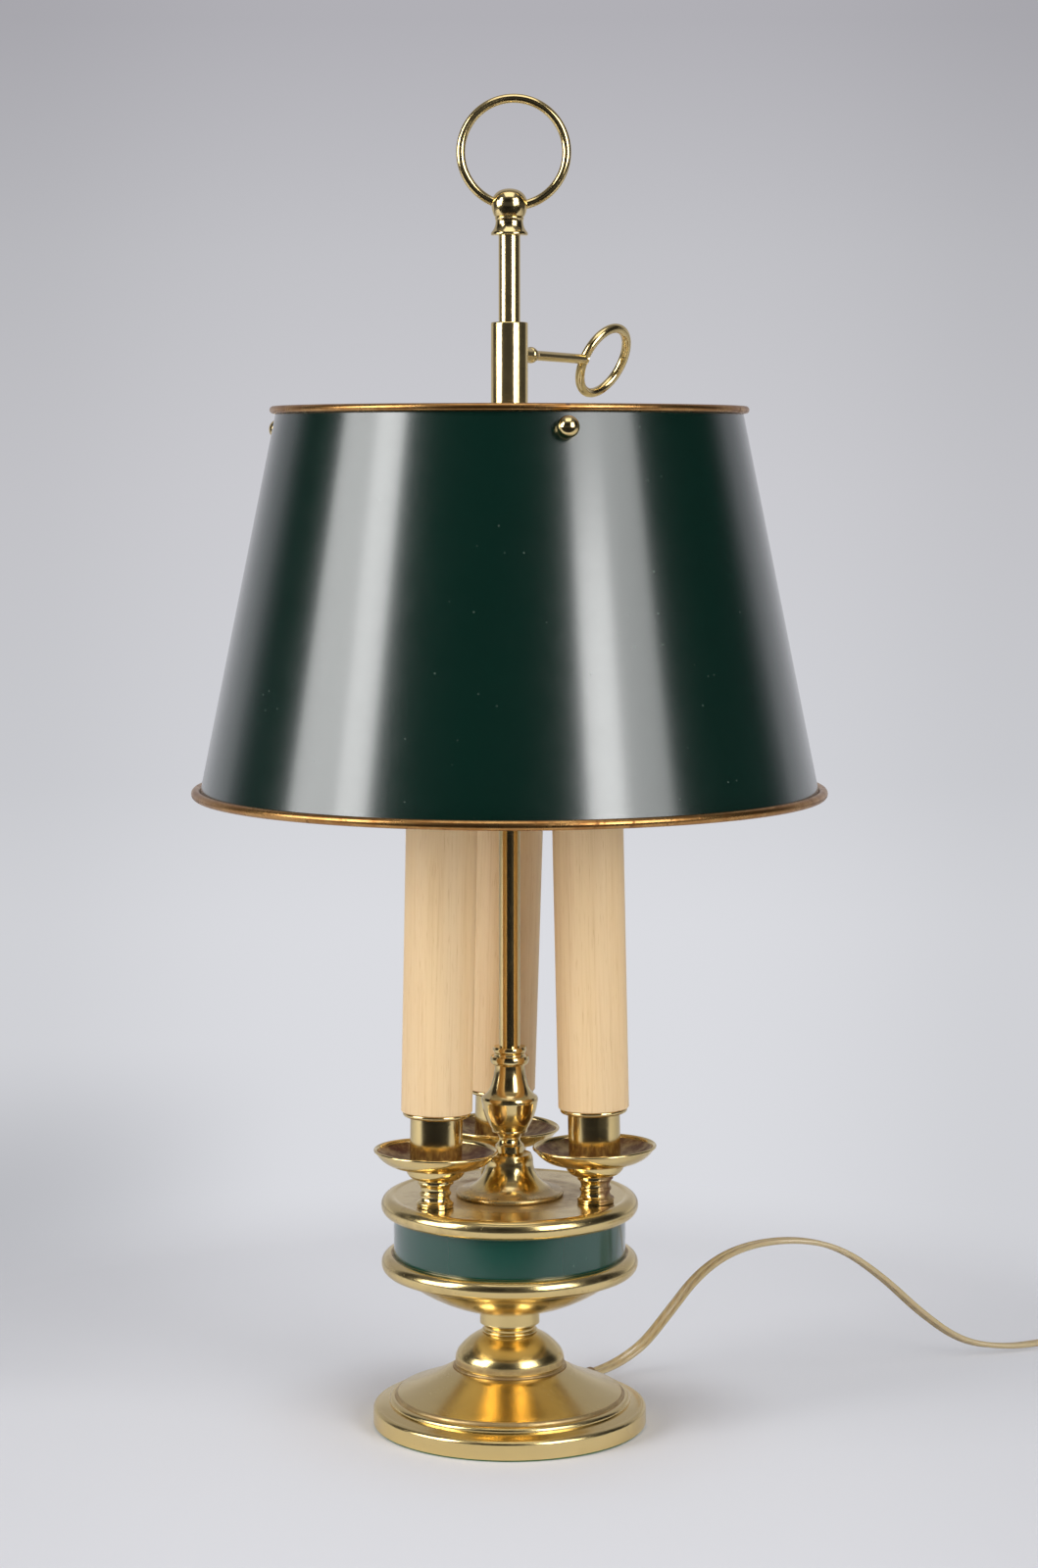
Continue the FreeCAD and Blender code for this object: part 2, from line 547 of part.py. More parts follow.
def make_arms():
    """Three candle arms, each with its stem, drip pan, cup, sleeve, socket and bulb."""
    hole = Part.makeCylinder(NIPPLE_R + EASY, SLEEVE_TOP_Z, V(0, 0, -NIPPLE_BELOW))
    z = STEM_H
    pan = turned(
        (0, z), (STEM_R - 0.3, z), ((12.1, z + 2.0), (13.2, z + 5.0)), (14.0, z + 5.8),
        ((22.4, z + 7.6), (PAN_R - 0.8, z + PAN_H - 1.4)),
        ((PAN_R, z + PAN_H - 0.6), (PAN_R - 0.7, z + PAN_H)),
        ((PAN_R - 1.4, z + PAN_H - 0.5), (PAN_R - 1.9, z + PAN_H - 1.4)),
        ((21.4, z + 9.1), (14.0, z + PAN_FLOOR_H)), (0, z + PAN_FLOOR_H)).cut(hole)
    z = CUP_Z
    cup = turned(
        (0, z), (CUP_R, z), (CUP_R, LIP_Z - CUP_LIP_T), (CUP_LIP_R - 0.8, LIP_Z - CUP_LIP_T),
        ((CUP_LIP_R, LIP_Z - CUP_LIP_T / 2), (CUP_LIP_R - 0.6, LIP_Z)), (CUP_R - CUP_WALL, LIP_Z),
        (CUP_R - CUP_WALL, z + CUP_WALL), (0, z + CUP_WALL)).cut(hole)
    sleeve = tube(SLEEVE_R, SLEEVE_R - SLEEVE_WALL, LIP_Z, SLEEVE_L)
    z = SOCKET_Z
    socket = Part.makeCylinder(SOCKET_R, SOCKET_L, V(0, 0, z)).cut(
        Part.makeCylinder(SOCKET_R - SOCKET_WALL, SOCKET_L, V(0, 0, z + SOCKET_FLOOR))).cut(
        Part.makeCylinder(NIPPLE_R + RUNNING, NIPPLE_IN_SOCKET, V(0, 0, z)))
    z = BULB_Z - BULB_BASE_L
    base = turned((0, z - 3.4), (3.5, z - 3.4), (5.0, z - 2.2), (BULB_BASE_R - 1.0, z),
                  (BULB_BASE_R, z + 1.5), (BULB_BASE_R, BULB_Z), (0, BULB_Z))
    glass = candle_bulb(BULB_NECK_R, BULB_R, BULB_Z + BULB_L).cut(
        candle_bulb(BULB_NECK_R - BULB_WALL, BULB_R - BULB_WALL, BULB_Z + BULB_L - BULB_WALL))

    under_nut = hex_nut(NUT_FLATS, NIPPLE_R + RUNNING, NUT_H)
    under_nut.translate(V(0, 0, -SPUN_WALL - NUT_H - 0.3))
    cup_nut = hex_nut(NUT_FLATS, NIPPLE_R + RUNNING, NUT_H)
    cup_nut.translate(V(0, 0, CUP_Z + CUP_WALL))

    below_plate = block((-2 * ARM_CIRCLE_R, -2 * ARM_CIRCLE_R, PLATE_TOP_Z - PLATE_LIP_H),
                        (2 * ARM_CIRCLE_R, 2 * ARM_CIRCLE_R, PLATE_TOP_Z))
    nipples, nuts = [], []
    for side, lift in ARM_LIFTS.items():
        parts[f"{side}_stem"] = on_arm(arm_stem(STEM_H + lift).cut(hole), side).cut(below_plate)
        pieces = {"drip_pan": pan, "candle_cup": cup, "candle_sleeve": sleeve, "lamp_socket": socket,
                  "bulb_base": base, "bulb_glass": glass}
        for name, shape in pieces.items():
            parts[f"{side}_{name}"] = on_arm(shape.translated(UP * lift), side)
        nipple_top = SOCKET_Z + lift + NIPPLE_IN_SOCKET
        nipple = tube(NIPPLE_R, NIPPLE_BORE_R, -NIPPLE_BELOW, nipple_top + NIPPLE_BELOW)
        nipples.append(on_arm(nipple, side))
        nuts += [on_arm(under_nut, side), on_arm(cup_nut.translated(UP * lift), side)]
    parts["arm_nipples"] = Part.makeCompound(nipples)
    parts["arm_nuts"] = Part.makeCompound(nuts)


def make_shade():
    """Painted sheet cone with its two rim beads, the spider that carries it and the ball nuts."""
    sheet = turned((SHADE_BOTTOM_R - SHADE_T, SHADE_Z), (SHADE_BOTTOM_R, SHADE_Z),
                   (SHADE_TOP_R, SHADE_TOP_Z), (SHADE_TOP_R - SHADE_T, SHADE_TOP_Z))
    top_bead = Part.makeTorus(SHADE_TOP_R + TOP_BEAD_R - BEAD_BITE, TOP_BEAD_R, V(0, 0, SHADE_TOP_Z))
    bottom_bead = Part.makeTorus(SHADE_BOTTOM_R + BOTTOM_BEAD_R - BEAD_BITE, BOTTOM_BEAD_R,
                                 V(0, 0, SHADE_Z))
    parts["shade_top_rim"] = top_bead.cut(sheet)
    parts["shade_bottom_rim"] = bottom_bead.cut(sheet)

    filled = turned((0, SHADE_Z), (SHADE_BOTTOM_R, SHADE_Z), (SHADE_TOP_R, SHADE_TOP_Z), (0, SHADE_TOP_Z))
    hollow = turned((0, SHADE_Z), (SHADE_BOTTOM_R - SHADE_T, SHADE_Z),
                    (SHADE_TOP_R - SHADE_T, SHADE_TOP_Z), (0, SHADE_TOP_Z))
    spider = Part.makeCylinder(SPIDER_HUB_R, SPIDER_HUB_H, V(0, 0, SPIDER_Z - SPIDER_HUB_H / 2))
    wall_r = shade_radius(SPIDER_Z)
    start = V(0, 0, SPIDER_Z)
    shade = sheet
    balls = []
    for azimuth in SPIDER_AZIMUTHS:
        arm = rod(SPIDER_ARM_R, start, V(SHADE_BOTTOM_R, 0, SPIDER_Z)).common(hollow)
        stud = rod(STUD_R, start, V(wall_r + STUD_L, 0, SPIDER_Z))
        spider = spider.fuse([at_azimuth(arm, azimuth), at_azimuth(stud, azimuth)])
        hole = rod(STUD_R + EASY, V(wall_r - 5, 0, SPIDER_Z), V(wall_r + 5, 0, SPIDER_Z))
        shade = shade.cut(at_azimuth(hole, azimuth))
        ball = Part.makeSphere(BALL_R, V(wall_r + BALL_STANDOFF, 0, SPIDER_Z)).cut(filled).cut(
            rod(STUD_R + RUNNING, start, V(wall_r + STUD_L + 0.2, 0, SPIDER_Z)))
        balls.append(at_azimuth(ball, azimuth))
    parts["shade"] = shade
    parts["spider"] = spider.cut(
        Part.makeCylinder(COLLAR_R + RUNNING, 2 * SPIDER_HUB_H, V(0, 0, SPIDER_Z - SPIDER_HUB_H)))
    parts["shade_ball_nuts"] = Part.makeCompound(balls)


def make_collar_and_key():
    """Sliding collar with a guide bush in each end, the boss on its side and the thumb key."""
    bush_r = ROD_R + RUNNING + BUSH_WALL
    angle = math.radians(KEY_AZIMUTH)

    def along(distance):
        """Point on the key's axis, so far from the rod's axis."""
        drop = distance * math.tan(math.radians(KEY_DROOP))
        return V(distance * math.cos(angle), distance * math.sin(angle), KEY_Z - drop)

    screw_hole = rod(KEY_SCREW_R + RUNNING, along(0), along(KEY_BOSS_REACH + 1))
    chamfer = COLLAR_CHAMFER
    collar = turned(
        (bush_r + RUNNING, COLLAR_Z), (COLLAR_R, COLLAR_Z), (COLLAR_R, COLLAR_TOP_Z - chamfer),
        (COLLAR_R - chamfer, COLLAR_TOP_Z), (bush_r + RUNNING, COLLAR_TOP_Z))
    parts["collar"] = collar.cut(screw_hole)
    parts["guide_bushes"] = Part.makeCompound([
        tube(bush_r, ROD_R + RUNNING, COLLAR_Z + BUSH_INSET, BUSH_L),
        tube(bush_r, ROD_R + RUNNING, COLLAR_TOP_Z - BUSH_INSET - BUSH_L, BUSH_L)])

    boss = rod(KEY_BOSS_R - 0.4, along(COLLAR_R - 1.5), along(KEY_BOSS_REACH - 2.0))
    lip = rod(KEY_BOSS_R, along(KEY_BOSS_REACH - 2.0), along(KEY_BOSS_REACH))
    outside = Part.makeCylinder(COLLAR_R, COLLAR_L, V(0, 0, COLLAR_Z))
    parts["key_boss"] = boss.fuse(lip).cut(outside).cut(screw_hole)

    screw = rod(KEY_SCREW_R, along(ROD_R + KEY_TIP_GAP), along(KEY_BOSS_REACH + EASY))
    shank = rod(KEY_SHANK_R, along(KEY_BOSS_REACH + EASY), along(KEY_RING_REACH - KEY_RING_R))
    shoulder = Part.makeCone(KEY_SCREW_R + 0.7, KEY_SHANK_R, KEY_SHOULDER_L, along(KEY_BOSS_REACH + EASY),
                             along(1) - along(0))
    ring = Part.makeTorus(KEY_RING_R, KEY_RING_WIRE_R, V(0, 0, 0), UP)
    ring.rotate(V(0, 0, 0), V(1, 0, 0), -KEY_RING_ROLL)
    ring.rotate(V(0, 0, 0), V(0, 1, 0), KEY_DROOP)
    ring.rotate(V(0, 0, 0), UP, KEY_AZIMUTH)
    ring.translate(along(KEY_RING_REACH))
    parts["shade_key"] = screw.fuse([shoulder, shank, ring])


def make_cord_inside():
    """Bushing in the foot's wall and the flat cord's run through the pipe to the drum."""
    wall = FOOT_R - SPUN_WALL
    bushing = rod(BUSHING_R - RUNNING, V(wall - BUSHING_IN_L, 0, 0), V(FOOT_R, 0, 0))
    nose = Part.makeCone(BUSHING_R, BUSHING_TIP_R, BUSHING_OUT_L, V(FOOT_R, 0, 0), V(1, 0, 0))
    bore = rod(CORD_W / 2 + RUNNING, V(0, 0, 0), V(FOOT_R + BUSHING_OUT_L, 0, 0))
    bushing = bushing.fuse(nose).cut(bore)
    bushing.translate(V(0, 0, CORD_Z))
    parts["cord_bushing"] = at_azimuth(bushing, CORD_AZIMUTH)

    out, r = FOOT_R + BUSHING_OUT_L, CORD_RISE_R
    slant = r * (1 - math.sqrt(0.5))
    rise_end = CORD_WINDOW_Z - 1
    edges = [
        Part.LineSegment(V(out, 0, CORD_Z), V(r, 0, CORD_Z)),
        Part.Arc(V(r, 0, CORD_Z), V(slant, 0, CORD_Z + slant), V(0, 0, CORD_Z + r)),
        Part.LineSegment(V(0, 0, CORD_Z + r), V(0, 0, rise_end)),
        Part.Arc(V(0, 0, rise_end), V(slant, 0, rise_end + r - slant), V(r, 0, rise_end + r)),
        Part.LineSegment(V(r, 0, rise_end + r), V(CORD_IN_DRUM_L, 0, rise_end + r))]
    path = Part.Wire([edge.toShape() for edge in edges])
    half, side = CORD_T / 2, (CORD_W - CORD_T) / 2
    flat = Part.Wire([
        Part.LineSegment(V(out, -side, CORD_Z - half), V(out, side, CORD_Z - half)).toShape(),
        Part.Arc(V(out, side, CORD_Z - half), V(out, side + half, CORD_Z),
                 V(out, side, CORD_Z + half)).toShape(),
        Part.LineSegment(V(out, side, CORD_Z + half), V(out, -side, CORD_Z + half)).toShape(),
        Part.Arc(V(out, -side, CORD_Z + half), V(out, -side - half, CORD_Z),
                 V(out, -side, CORD_Z - half)).toShape()])
    parts["inner_cord"] = at_azimuth(path.makePipeShell([flat], True, False), CORD_AZIMUTH)


def make_cord_run():
    """Free cord from the bushing to the switch."""
    out, angle = FOOT_R + BUSHING_OUT_L, math.radians(CORD_AZIMUTH)
    mouth = V(out * math.cos(angle), out * math.sin(angle), CORD_Z)
    points = [mouth] + [V(*point) for point in CORD_ROUTE] + [V(*SWITCH_START)]
    path, radii = bent_path(points)
    run = swept(path, CORD_W / 2)
    parts["cord_run"] = run
    print("cord run length %.0f mm, radii %s" % (path.Length, " ".join("%.0f" % r for r in radii)))
    print("volume over section times length %.4f" % (run.Volume / (path.Length * math.pi * CORD_W ** 2 / 4)))


def make_switch():
    """Inline switch in two halves, with the wheel that turns on a pin in the lower half."""
    x, y, z = SWITCH_START
    half = SWITCH_H / 2
    body = rounded_bar((x, y - SWITCH_W / 2, z - half), (x + SWITCH_L, y + SWITCH_W / 2, z + half),
                       SWITCH_ROUND)
    middle = V(x + SWITCH_L / 2, y - SWITCH_W / 2 - WHEEL_PROUD + WHEEL_R, z)
    pocket = Part.makeCylinder(WHEEL_R + WHEEL_GAP, WHEEL_T + 2 * WHEEL_GAP,
                               middle - UP * (WHEEL_T / 2 + WHEEL_GAP))
    body = body.cut(pocket)
    lower = body.common(block((x, y - SWITCH_W, z - half), (x + SWITCH_L, y + SWITCH_W, z)))
    upper = body.common(block((x, y - SWITCH_W, z), (x + SWITCH_L, y + SWITCH_W, z + half)))
    pin = Part.makeCylinder(WHEEL_PIN_R, WHEEL_T + 2 * WHEEL_GAP, middle - UP * (WHEEL_T / 2 + WHEEL_GAP))
    parts["switch_lower"] = lower.fuse(pin)
    parts["switch_upper"] = upper.cut(pin)
    wheel = Part.makeCylinder(WHEEL_R, WHEEL_T, middle - UP * (WHEEL_T / 2))
    wheel = wheel.makeChamfer(0.6, [e for e in wheel.Edges if isinstance(e.Curve, Part.Circle)])
    parts["switch_wheel"] = wheel.cut(Part.makeCylinder(WHEEL_PIN_R + RUNNING, SWITCH_H,
                                                        middle - UP * half))


def coil_point(turn):
    """Middle of the cord after so many turns of the coil: spiral in, climb half a turn, spiral out."""
    pitch = (COIL_OUTER_R - COIL_INNER_R) / COIL_TURNS_DOWN
    low = TIE_T + TIE_GAP + CORD_W / 2
    high = low + CORD_W + COIL_GAP
    climb_start, climb_end = COIL_TURNS_DOWN, COIL_TURNS_DOWN + 0.5
    if turn <= climb_start:
        radius, z = COIL_OUTER_R - pitch * turn, low
    elif turn >= climb_end:
        radius, z = COIL_INNER_R + pitch * (turn - climb_end), high
    else:
        part = (turn - climb_start) * 2
        radius = COIL_INNER_R - COIL_DIP * math.sin(math.pi * part)
        z = low + (high - low) * part * part * (3 - 2 * part)
    angle = -2 * math.pi * turn
    return V(COIL_CENTRE[0] + radius * math.cos(angle), COIL_CENTRE[1] + radius * math.sin(angle), z)


def coil_heading(turn):
    """Direction of the cord there."""
    step = coil_point(turn + 0.002) - coil_point(turn - 0.002)
    return step.normalize()


def make_coil():
    """Second cord: from the switch round the coil to the plug, with the tie round the coil."""
    turns = COIL_TURNS_DOWN + 0.5 + COIL_TURNS_UP
    x, y, z = SWITCH_START
    leave = V(x + SWITCH_L, y, z)
    along_x = V(1, 0, 0)
    start = leave + along_x * CORD_W
    plug = V(*PLUG_REAR)
    stop = plug + along_x * CORD_W
    coil_start = coil_point(0)
    coil_end = coil_point(turns)
    bend = V(coil_start.x, start.y - (coil_start.x - start.x), (start.z + coil_start.z) / 2)
    marks = [(start, along_x), (bend, V(0, -1, -0.1).normalize())]
    marks += [(coil_point(i / 4), coil_heading(i / 4)) for i in range(round(turns * 4) + 1)]
    over_edge = V(coil_end.x - 16, (coil_end.y + stop.y) / 2, coil_end.z - 0.5)
    marks += [(over_edge, V(-1, 0, -0.12).normalize()), (stop, along_x * -1)]
    marks[2] = (coil_start, V(0, -1, 0))
    edges = [Part.LineSegment(leave, start).toShape()]
    for (p0, t0), (p1, t1) in zip(marks, marks[1:]):
        edges += biarc(p0, t0, p1, t1)
    edges.append(Part.LineSegment(stop, plug).toShape())
    path = Part.Wire(Part.sortEdges(edges)[0])
    parts["cord_coil"] = swept(path, CORD_W / 2)
    print_coil_gap(path)

    low_r, high_r = COIL_INNER_R - COIL_DIP - CORD_W / 2 - TIE_GAP, COIL_OUTER_R + CORD_W / 2 + TIE_GAP
    top = coil_end.z + CORD_W / 2 + TIE_GAP
    outer = block((low_r - TIE_T, -TIE_W / 2, 0), (high_r + TIE_T, TIE_W / 2, top + TIE_T))
    inner = block((low_r, -TIE_W / 2, TIE_T), (high_r, TIE_W / 2, top))
    tie = outer.cut(inner)
    tie.rotate(V(0, 0, 0), UP, 135)
    tie.translate(V(COIL_CENTRE[0], COIL_CENTRE[1], 0))
    parts["coil_tie"] = tie


def print_coil_gap(path):
    """Print the second cord's length and its least gap to itself."""
    points = path.discretize(Distance=2.0)
    apart = round(3 * CORD_W / 2.0)
    least = min((points[i] - points[j]).Length for i in range(len(points))
                for j in range(i + apart, len(points)))
    print("second cord length %.0f mm, least gap to itself %.2f mm" % (path.Length, least - CORD_W))


def make_plug():
    """Two-blade plug on the end of the cord."""
    x, y, z = PLUG_REAR
    nose = x - PLUG_TAIL_L - PLUG_L
    body = rounded_bar((nose, y - PLUG_W / 2, z - PLUG_H / 2), (x - PLUG_TAIL_L, y + PLUG_W / 2, z + PLUG_H / 2),
                       PLUG_ROUND)
    tail = Part.makeCone(CORD_W / 2 + 0.6, PLUG_H / 2 - 0.4, PLUG_TAIL_L + PLUG_ROUND, V(x, y, z), V(-1, 0, 0))
    body = body.fuse(tail)
    blades = []
    for side in (-1, 1):
        blade_y = y + side * BLADE_SPACING / 2
        blade = block((nose - BLADE_L, blade_y - BLADE_T / 2, z - BLADE_W / 2),
                      (nose, blade_y + BLADE_T / 2, z + BLADE_W / 2))
        hole = rod(BLADE_HOLE_R, V(nose - BLADE_L + 3.4, blade_y - BLADE_T, z),
                   V(nose - BLADE_L + 3.4, blade_y + BLADE_T, z))
        blades.append(blade.cut(hole))
    parts["plug_body"] = body
    parts["plug_blades"] = Part.makeCompound(blades)


def main():
    """Build every piece and write one file for each."""
    for make in (make_base, make_knob_and_neck, make_drum, make_column, make_finial, make_arms,
                 make_shade, make_collar_and_key, make_cord_inside, make_cord_run, make_switch,
                 make_coil, make_plug):
        make()
    os.makedirs("parts", exist_ok=True)
    for name, shape in parts.items():
        bad = [solid for solid in shape.Solids if not solid.isValid()]
        if bad or not shape.Solids:
            print("check", name, len(shape.Solids), "solids", len(bad), "not valid")
        shape.exportStep("parts/%s.step" % name)
    print(len(parts), "nodes")


main()
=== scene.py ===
"""Bouillotte table lamp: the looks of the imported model, its studio and its camera."""
import cmath
import logging
import math
from dataclasses import dataclass, field
from enum import Enum
from itertools import accumulate
from typing import Any, Iterable, Sequence

import bmesh
import bpy
from mathutils import Matrix, Vector


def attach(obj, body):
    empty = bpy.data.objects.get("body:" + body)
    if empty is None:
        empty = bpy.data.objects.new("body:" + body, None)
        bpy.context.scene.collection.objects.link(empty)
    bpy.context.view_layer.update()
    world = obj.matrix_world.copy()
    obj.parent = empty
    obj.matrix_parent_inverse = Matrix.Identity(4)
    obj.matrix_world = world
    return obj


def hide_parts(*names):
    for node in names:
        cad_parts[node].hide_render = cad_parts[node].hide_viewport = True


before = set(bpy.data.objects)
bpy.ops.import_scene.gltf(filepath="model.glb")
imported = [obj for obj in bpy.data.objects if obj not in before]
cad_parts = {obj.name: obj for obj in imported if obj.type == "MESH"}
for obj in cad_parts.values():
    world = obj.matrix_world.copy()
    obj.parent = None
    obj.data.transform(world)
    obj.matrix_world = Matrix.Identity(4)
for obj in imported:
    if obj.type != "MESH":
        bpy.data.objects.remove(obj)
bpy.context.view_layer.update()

MM = 0.001
OUTWARDS = Vector((1, 0, 0))
LOG = logging.getLogger("lamp")

Point = tuple[float, float]
Place = tuple[float, float, float]
Step = Point | tuple[Point, Point]
Material = bpy.types.Material
Mesh = bpy.types.Mesh
Piece = bpy.types.Object


class Body(Enum):
    """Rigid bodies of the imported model."""

    LAMP = "lamp"
    HEAD = "shade_head"
    KEY = "key"
    WHEEL = "wheel"


class Slot(Enum):
    """Material slots of the record, named with each new piece."""

    BRASS = "polished_brass"
    BAND = "green_band"
    SHADE = "green_shade"
    CANDLE = "candle_cream"
    GLASS = "frosted_glass"
    CORD = "gold_cord"
    MOULDING = "gold_moulding"


class Wrap(Enum):
    """How a pattern is laid on a piece."""

    OBJECT = "Object"
    SURFACE = "UV"


class Measure(Enum):
    """What a darkened zone is measured by."""

    RADIUS = "distance from the lamp's axis"
    ACROSS = "distance to the right of the axis"
    OUTLINE = "distance along the turned outline"


def linear(colour: Place, share: float = 1.0) -> tuple[float, float, float, float]:
    """Turn a colour as it looks on a screen into the shader's linear colour.

    Args:
        colour: Red, green and blue from 0 to 255.
        share: Factor on all three.

    Returns:
        Linear colour with an alpha of 1.
    """
    values = [value * share / 255 for value in colour]
    return *(value / 12.92 if value <= 0.04045 else ((value + 0.055) / 1.055) ** 2.4 for value in values), 1.0


class Link:
    """An output socket that takes part in arithmetic on numbers."""

    def __init__(self, graph: "Graph", socket: bpy.types.NodeSocket) -> None:
        """Wrap a socket of a graph."""
        self.graph, self.socket = graph, socket

    def _math(self, operation: str, *values: Any) -> "Link":
        """Add one Math node and return its value."""
        return self.graph.node("ShaderNodeMath", {"operation": operation}, dict(enumerate(values)))[0]

    def __add__(self, other: Any) -> "Link":
        """Sum."""
        return self._math("ADD", self, other)

    def __sub__(self, other: Any) -> "Link":
        """Difference."""
        return self._math("SUBTRACT", self, other)

    def __rsub__(self, other: Any) -> "Link":
        """Difference from a number."""
        return self._math("SUBTRACT", other, self)

    def __mul__(self, other: Any) -> "Link":
        """Product."""
        return self._math("MULTIPLY", self, other)

    def __truediv__(self, other: Any) -> "Link":
        """Quotient."""
        return self._math("DIVIDE", self, other)

    def __pow__(self, other: Any) -> "Link":
        """Power."""
        return self._math("POWER", self, other)

    def __abs__(self) -> "Link":
        """Size without sign."""
        return self._math("ABSOLUTE", self)

    def sine(self) -> "Link":
        """Sine of an angle in radians."""
        return self._math("SINE", self)

    def greatest(self, other: Any) -> "Link":
        """Greater of two values."""
        return self._math("MAXIMUM", self, other)

    def least(self, other: Any) -> "Link":
        """Lesser of two values."""
        return self._math("MINIMUM", self, other)

    def between(self, low: float, high: float) -> "Link":
        """Eased share, from 0 to 1, of the way from a low value to a high one, or the other way."""
        return self.graph.node("ShaderNodeMapRange", {"interpolation_type": "SMOOTHSTEP"},
                               {0: self, 1: low, 2: high, 3: 0.0, 4: 1.0})[0]


class Made:
    """A node whose outputs are taken by name or number."""

    def __init__(self, graph: "Graph", node: bpy.types.Node) -> None:
        """Wrap a node of a graph."""
        self.graph, self.node = graph, node

    def __getitem__(self, key: str | int) -> Link:
        """Output socket as a link."""
        return Link(self.graph, self.node.outputs[key])


class Graph:
    """A node tree that is written as expressions."""

    def __init__(self, tree: bpy.types.NodeTree) -> None:
        """Empty the tree and keep it."""
        self.tree = tree
        tree.nodes.clear()

    def node(self, kind: str, settings: dict[str, Any] | None = None,
             values: dict[str | int, Any] | None = None) -> Made:
        """Add one node.

        Args:
            kind: Type name of the node.
            settings: Properties, set before the sockets.
            values: Numbers or links for the input sockets, by name or number.

        Returns:
            The new node.
        """
        node = self.tree.nodes.new(kind)
        for name, value in (settings or {}).items():
            setattr(node, name, value)
        for key, value in (values or {}).items():
            value = value[0] if isinstance(value, Made) else value
            if isinstance(value, Link):
                self.tree.links.new(value.socket, node.inputs[key])
            else:
                node.inputs[key].default_value = value
        return Made(self, node)

    def mix(self, share: Any, first: Any, second: Any) -> Link:
        """Colour mixed from the first at a share of 0 to the second at 1."""
        return self.node("ShaderNodeMix", {"data_type": "RGBA"}, {0: share, 6: first, 7: second})[2]


class Surface(Graph):
    """Node tree of one material, with the patterns that the finishes share."""

    def __init__(self, name: str, wrap: Wrap = Wrap.OBJECT) -> None:
        """Start a material.

        Args:
            name: Name of the material.
            wrap: Coordinates that its patterns read.
        """
        self.material = bpy.data.materials.new(name)
        self.material.use_nodes = True
        super().__init__(self.material.node_tree)
        self.place = self.node("ShaderNodeTexCoord")[wrap.value]

    def mapped(self, location: Place, scale: Place) -> Link:
        """Coordinates scaled and moved."""
        return self.node("ShaderNodeMapping", None,
                         {"Vector": self.place, "Location": location, "Scale": scale})["Vector"]

    def noise(self, scale: float, detail: float = 3.0, rough: float = 0.55, shift: float = 0.0,
              stretch: Place = (1.0, 1.0, 1.0)) -> Link:
        """Noise value from 0 to 1.

        Args:
            scale: Number of features in a metre.
            detail: Octaves.
            rough: Share kept from one octave to the next.
            shift: Distance by which the pattern is moved, so that two differ.
            stretch: Factor on the scale along each axis.

        Returns:
            The noise value.
        """
        where = self.mapped((shift, shift * 0.7, -shift), stretch)
        return self.node("ShaderNodeTexNoise", None,
                         {"Vector": where, "Scale": scale, "Detail": detail, "Roughness": rough})[0]

    def spots(self, scale: float, size: float, softness: float, shift: float) -> Link:
        """Scattered round spots.

        Args:
            scale: Number of cells in a metre.
            size: Radius of a spot as a share of a cell.
            softness: Width of its edge as a share of a cell.
            shift: Distance by which the pattern is moved.

        Returns:
            Mask that is 1 in the spots.
        """
        where = self.mapped((shift, -shift, shift * 0.3), (1.0, 1.0, 1.0))
        made = self.node("ShaderNodeTexVoronoi", None, {"Vector": where, "Scale": scale, "Randomness": 1.0})
        return made["Distance"].between(size, max(size - softness, 0.0))

    def parts_of_place(self) -> tuple[Link, Link, Link]:
        """The three coordinates one by one."""
        made = self.node("ShaderNodeSeparateXYZ", None, {0: self.place})
        return made[0], made[1], made[2]

    def bump(self, height: Link, depth: float, strength: float) -> Link:
        """Normal for a height from 0 to 1, where 1 is the depth in metres."""
        return self.node("ShaderNodeBump", None,
                         {"Height": height, "Distance": depth, "Strength": strength})["Normal"]

    def finish(self, **sockets: Any) -> Material:
        """Close the material with one Principled shader.

        Args:
            sockets: Values or links by socket name, with _ for a space.

        Returns:
            The finished material.
        """
        values = {name.replace("_", " "): value for name, value in sockets.items()}
        shader = self.node("ShaderNodeBsdfPrincipled", None, values)
        self.node("ShaderNodeOutputMaterial", None, {"Surface": shader})
        return self.material


@dataclass(frozen=True)
class Aged:
    """Zone made darker, browner and duller, given by place. Lengths in millimetres."""

    by: Measure
    low: float
    high: float
    fade: float
    strength: float

    def mask(self, surface: Surface) -> Link:
        """Mask of the zone, up to its strength.

        Args:
            surface: Material that it marks.

        Returns:
            The mask.
        """
        across, depth, _ = surface.parts_of_place()
        if self.by is Measure.RADIUS:
            value = (across ** 2.0 + depth ** 2.0) ** 0.5
        elif self.by is Measure.ACROSS:
            value = across
        else:
            wrap = surface.node("ShaderNodeTexCoord")[Wrap.SURFACE.value]
            value = surface.node("ShaderNodeSeparateXYZ", None, {0: wrap})[1]
        inside = value.between((self.low - self.fade) * MM, self.low * MM)
        return inside * value.between((self.high + self.fade) * MM, self.high * MM) * self.strength


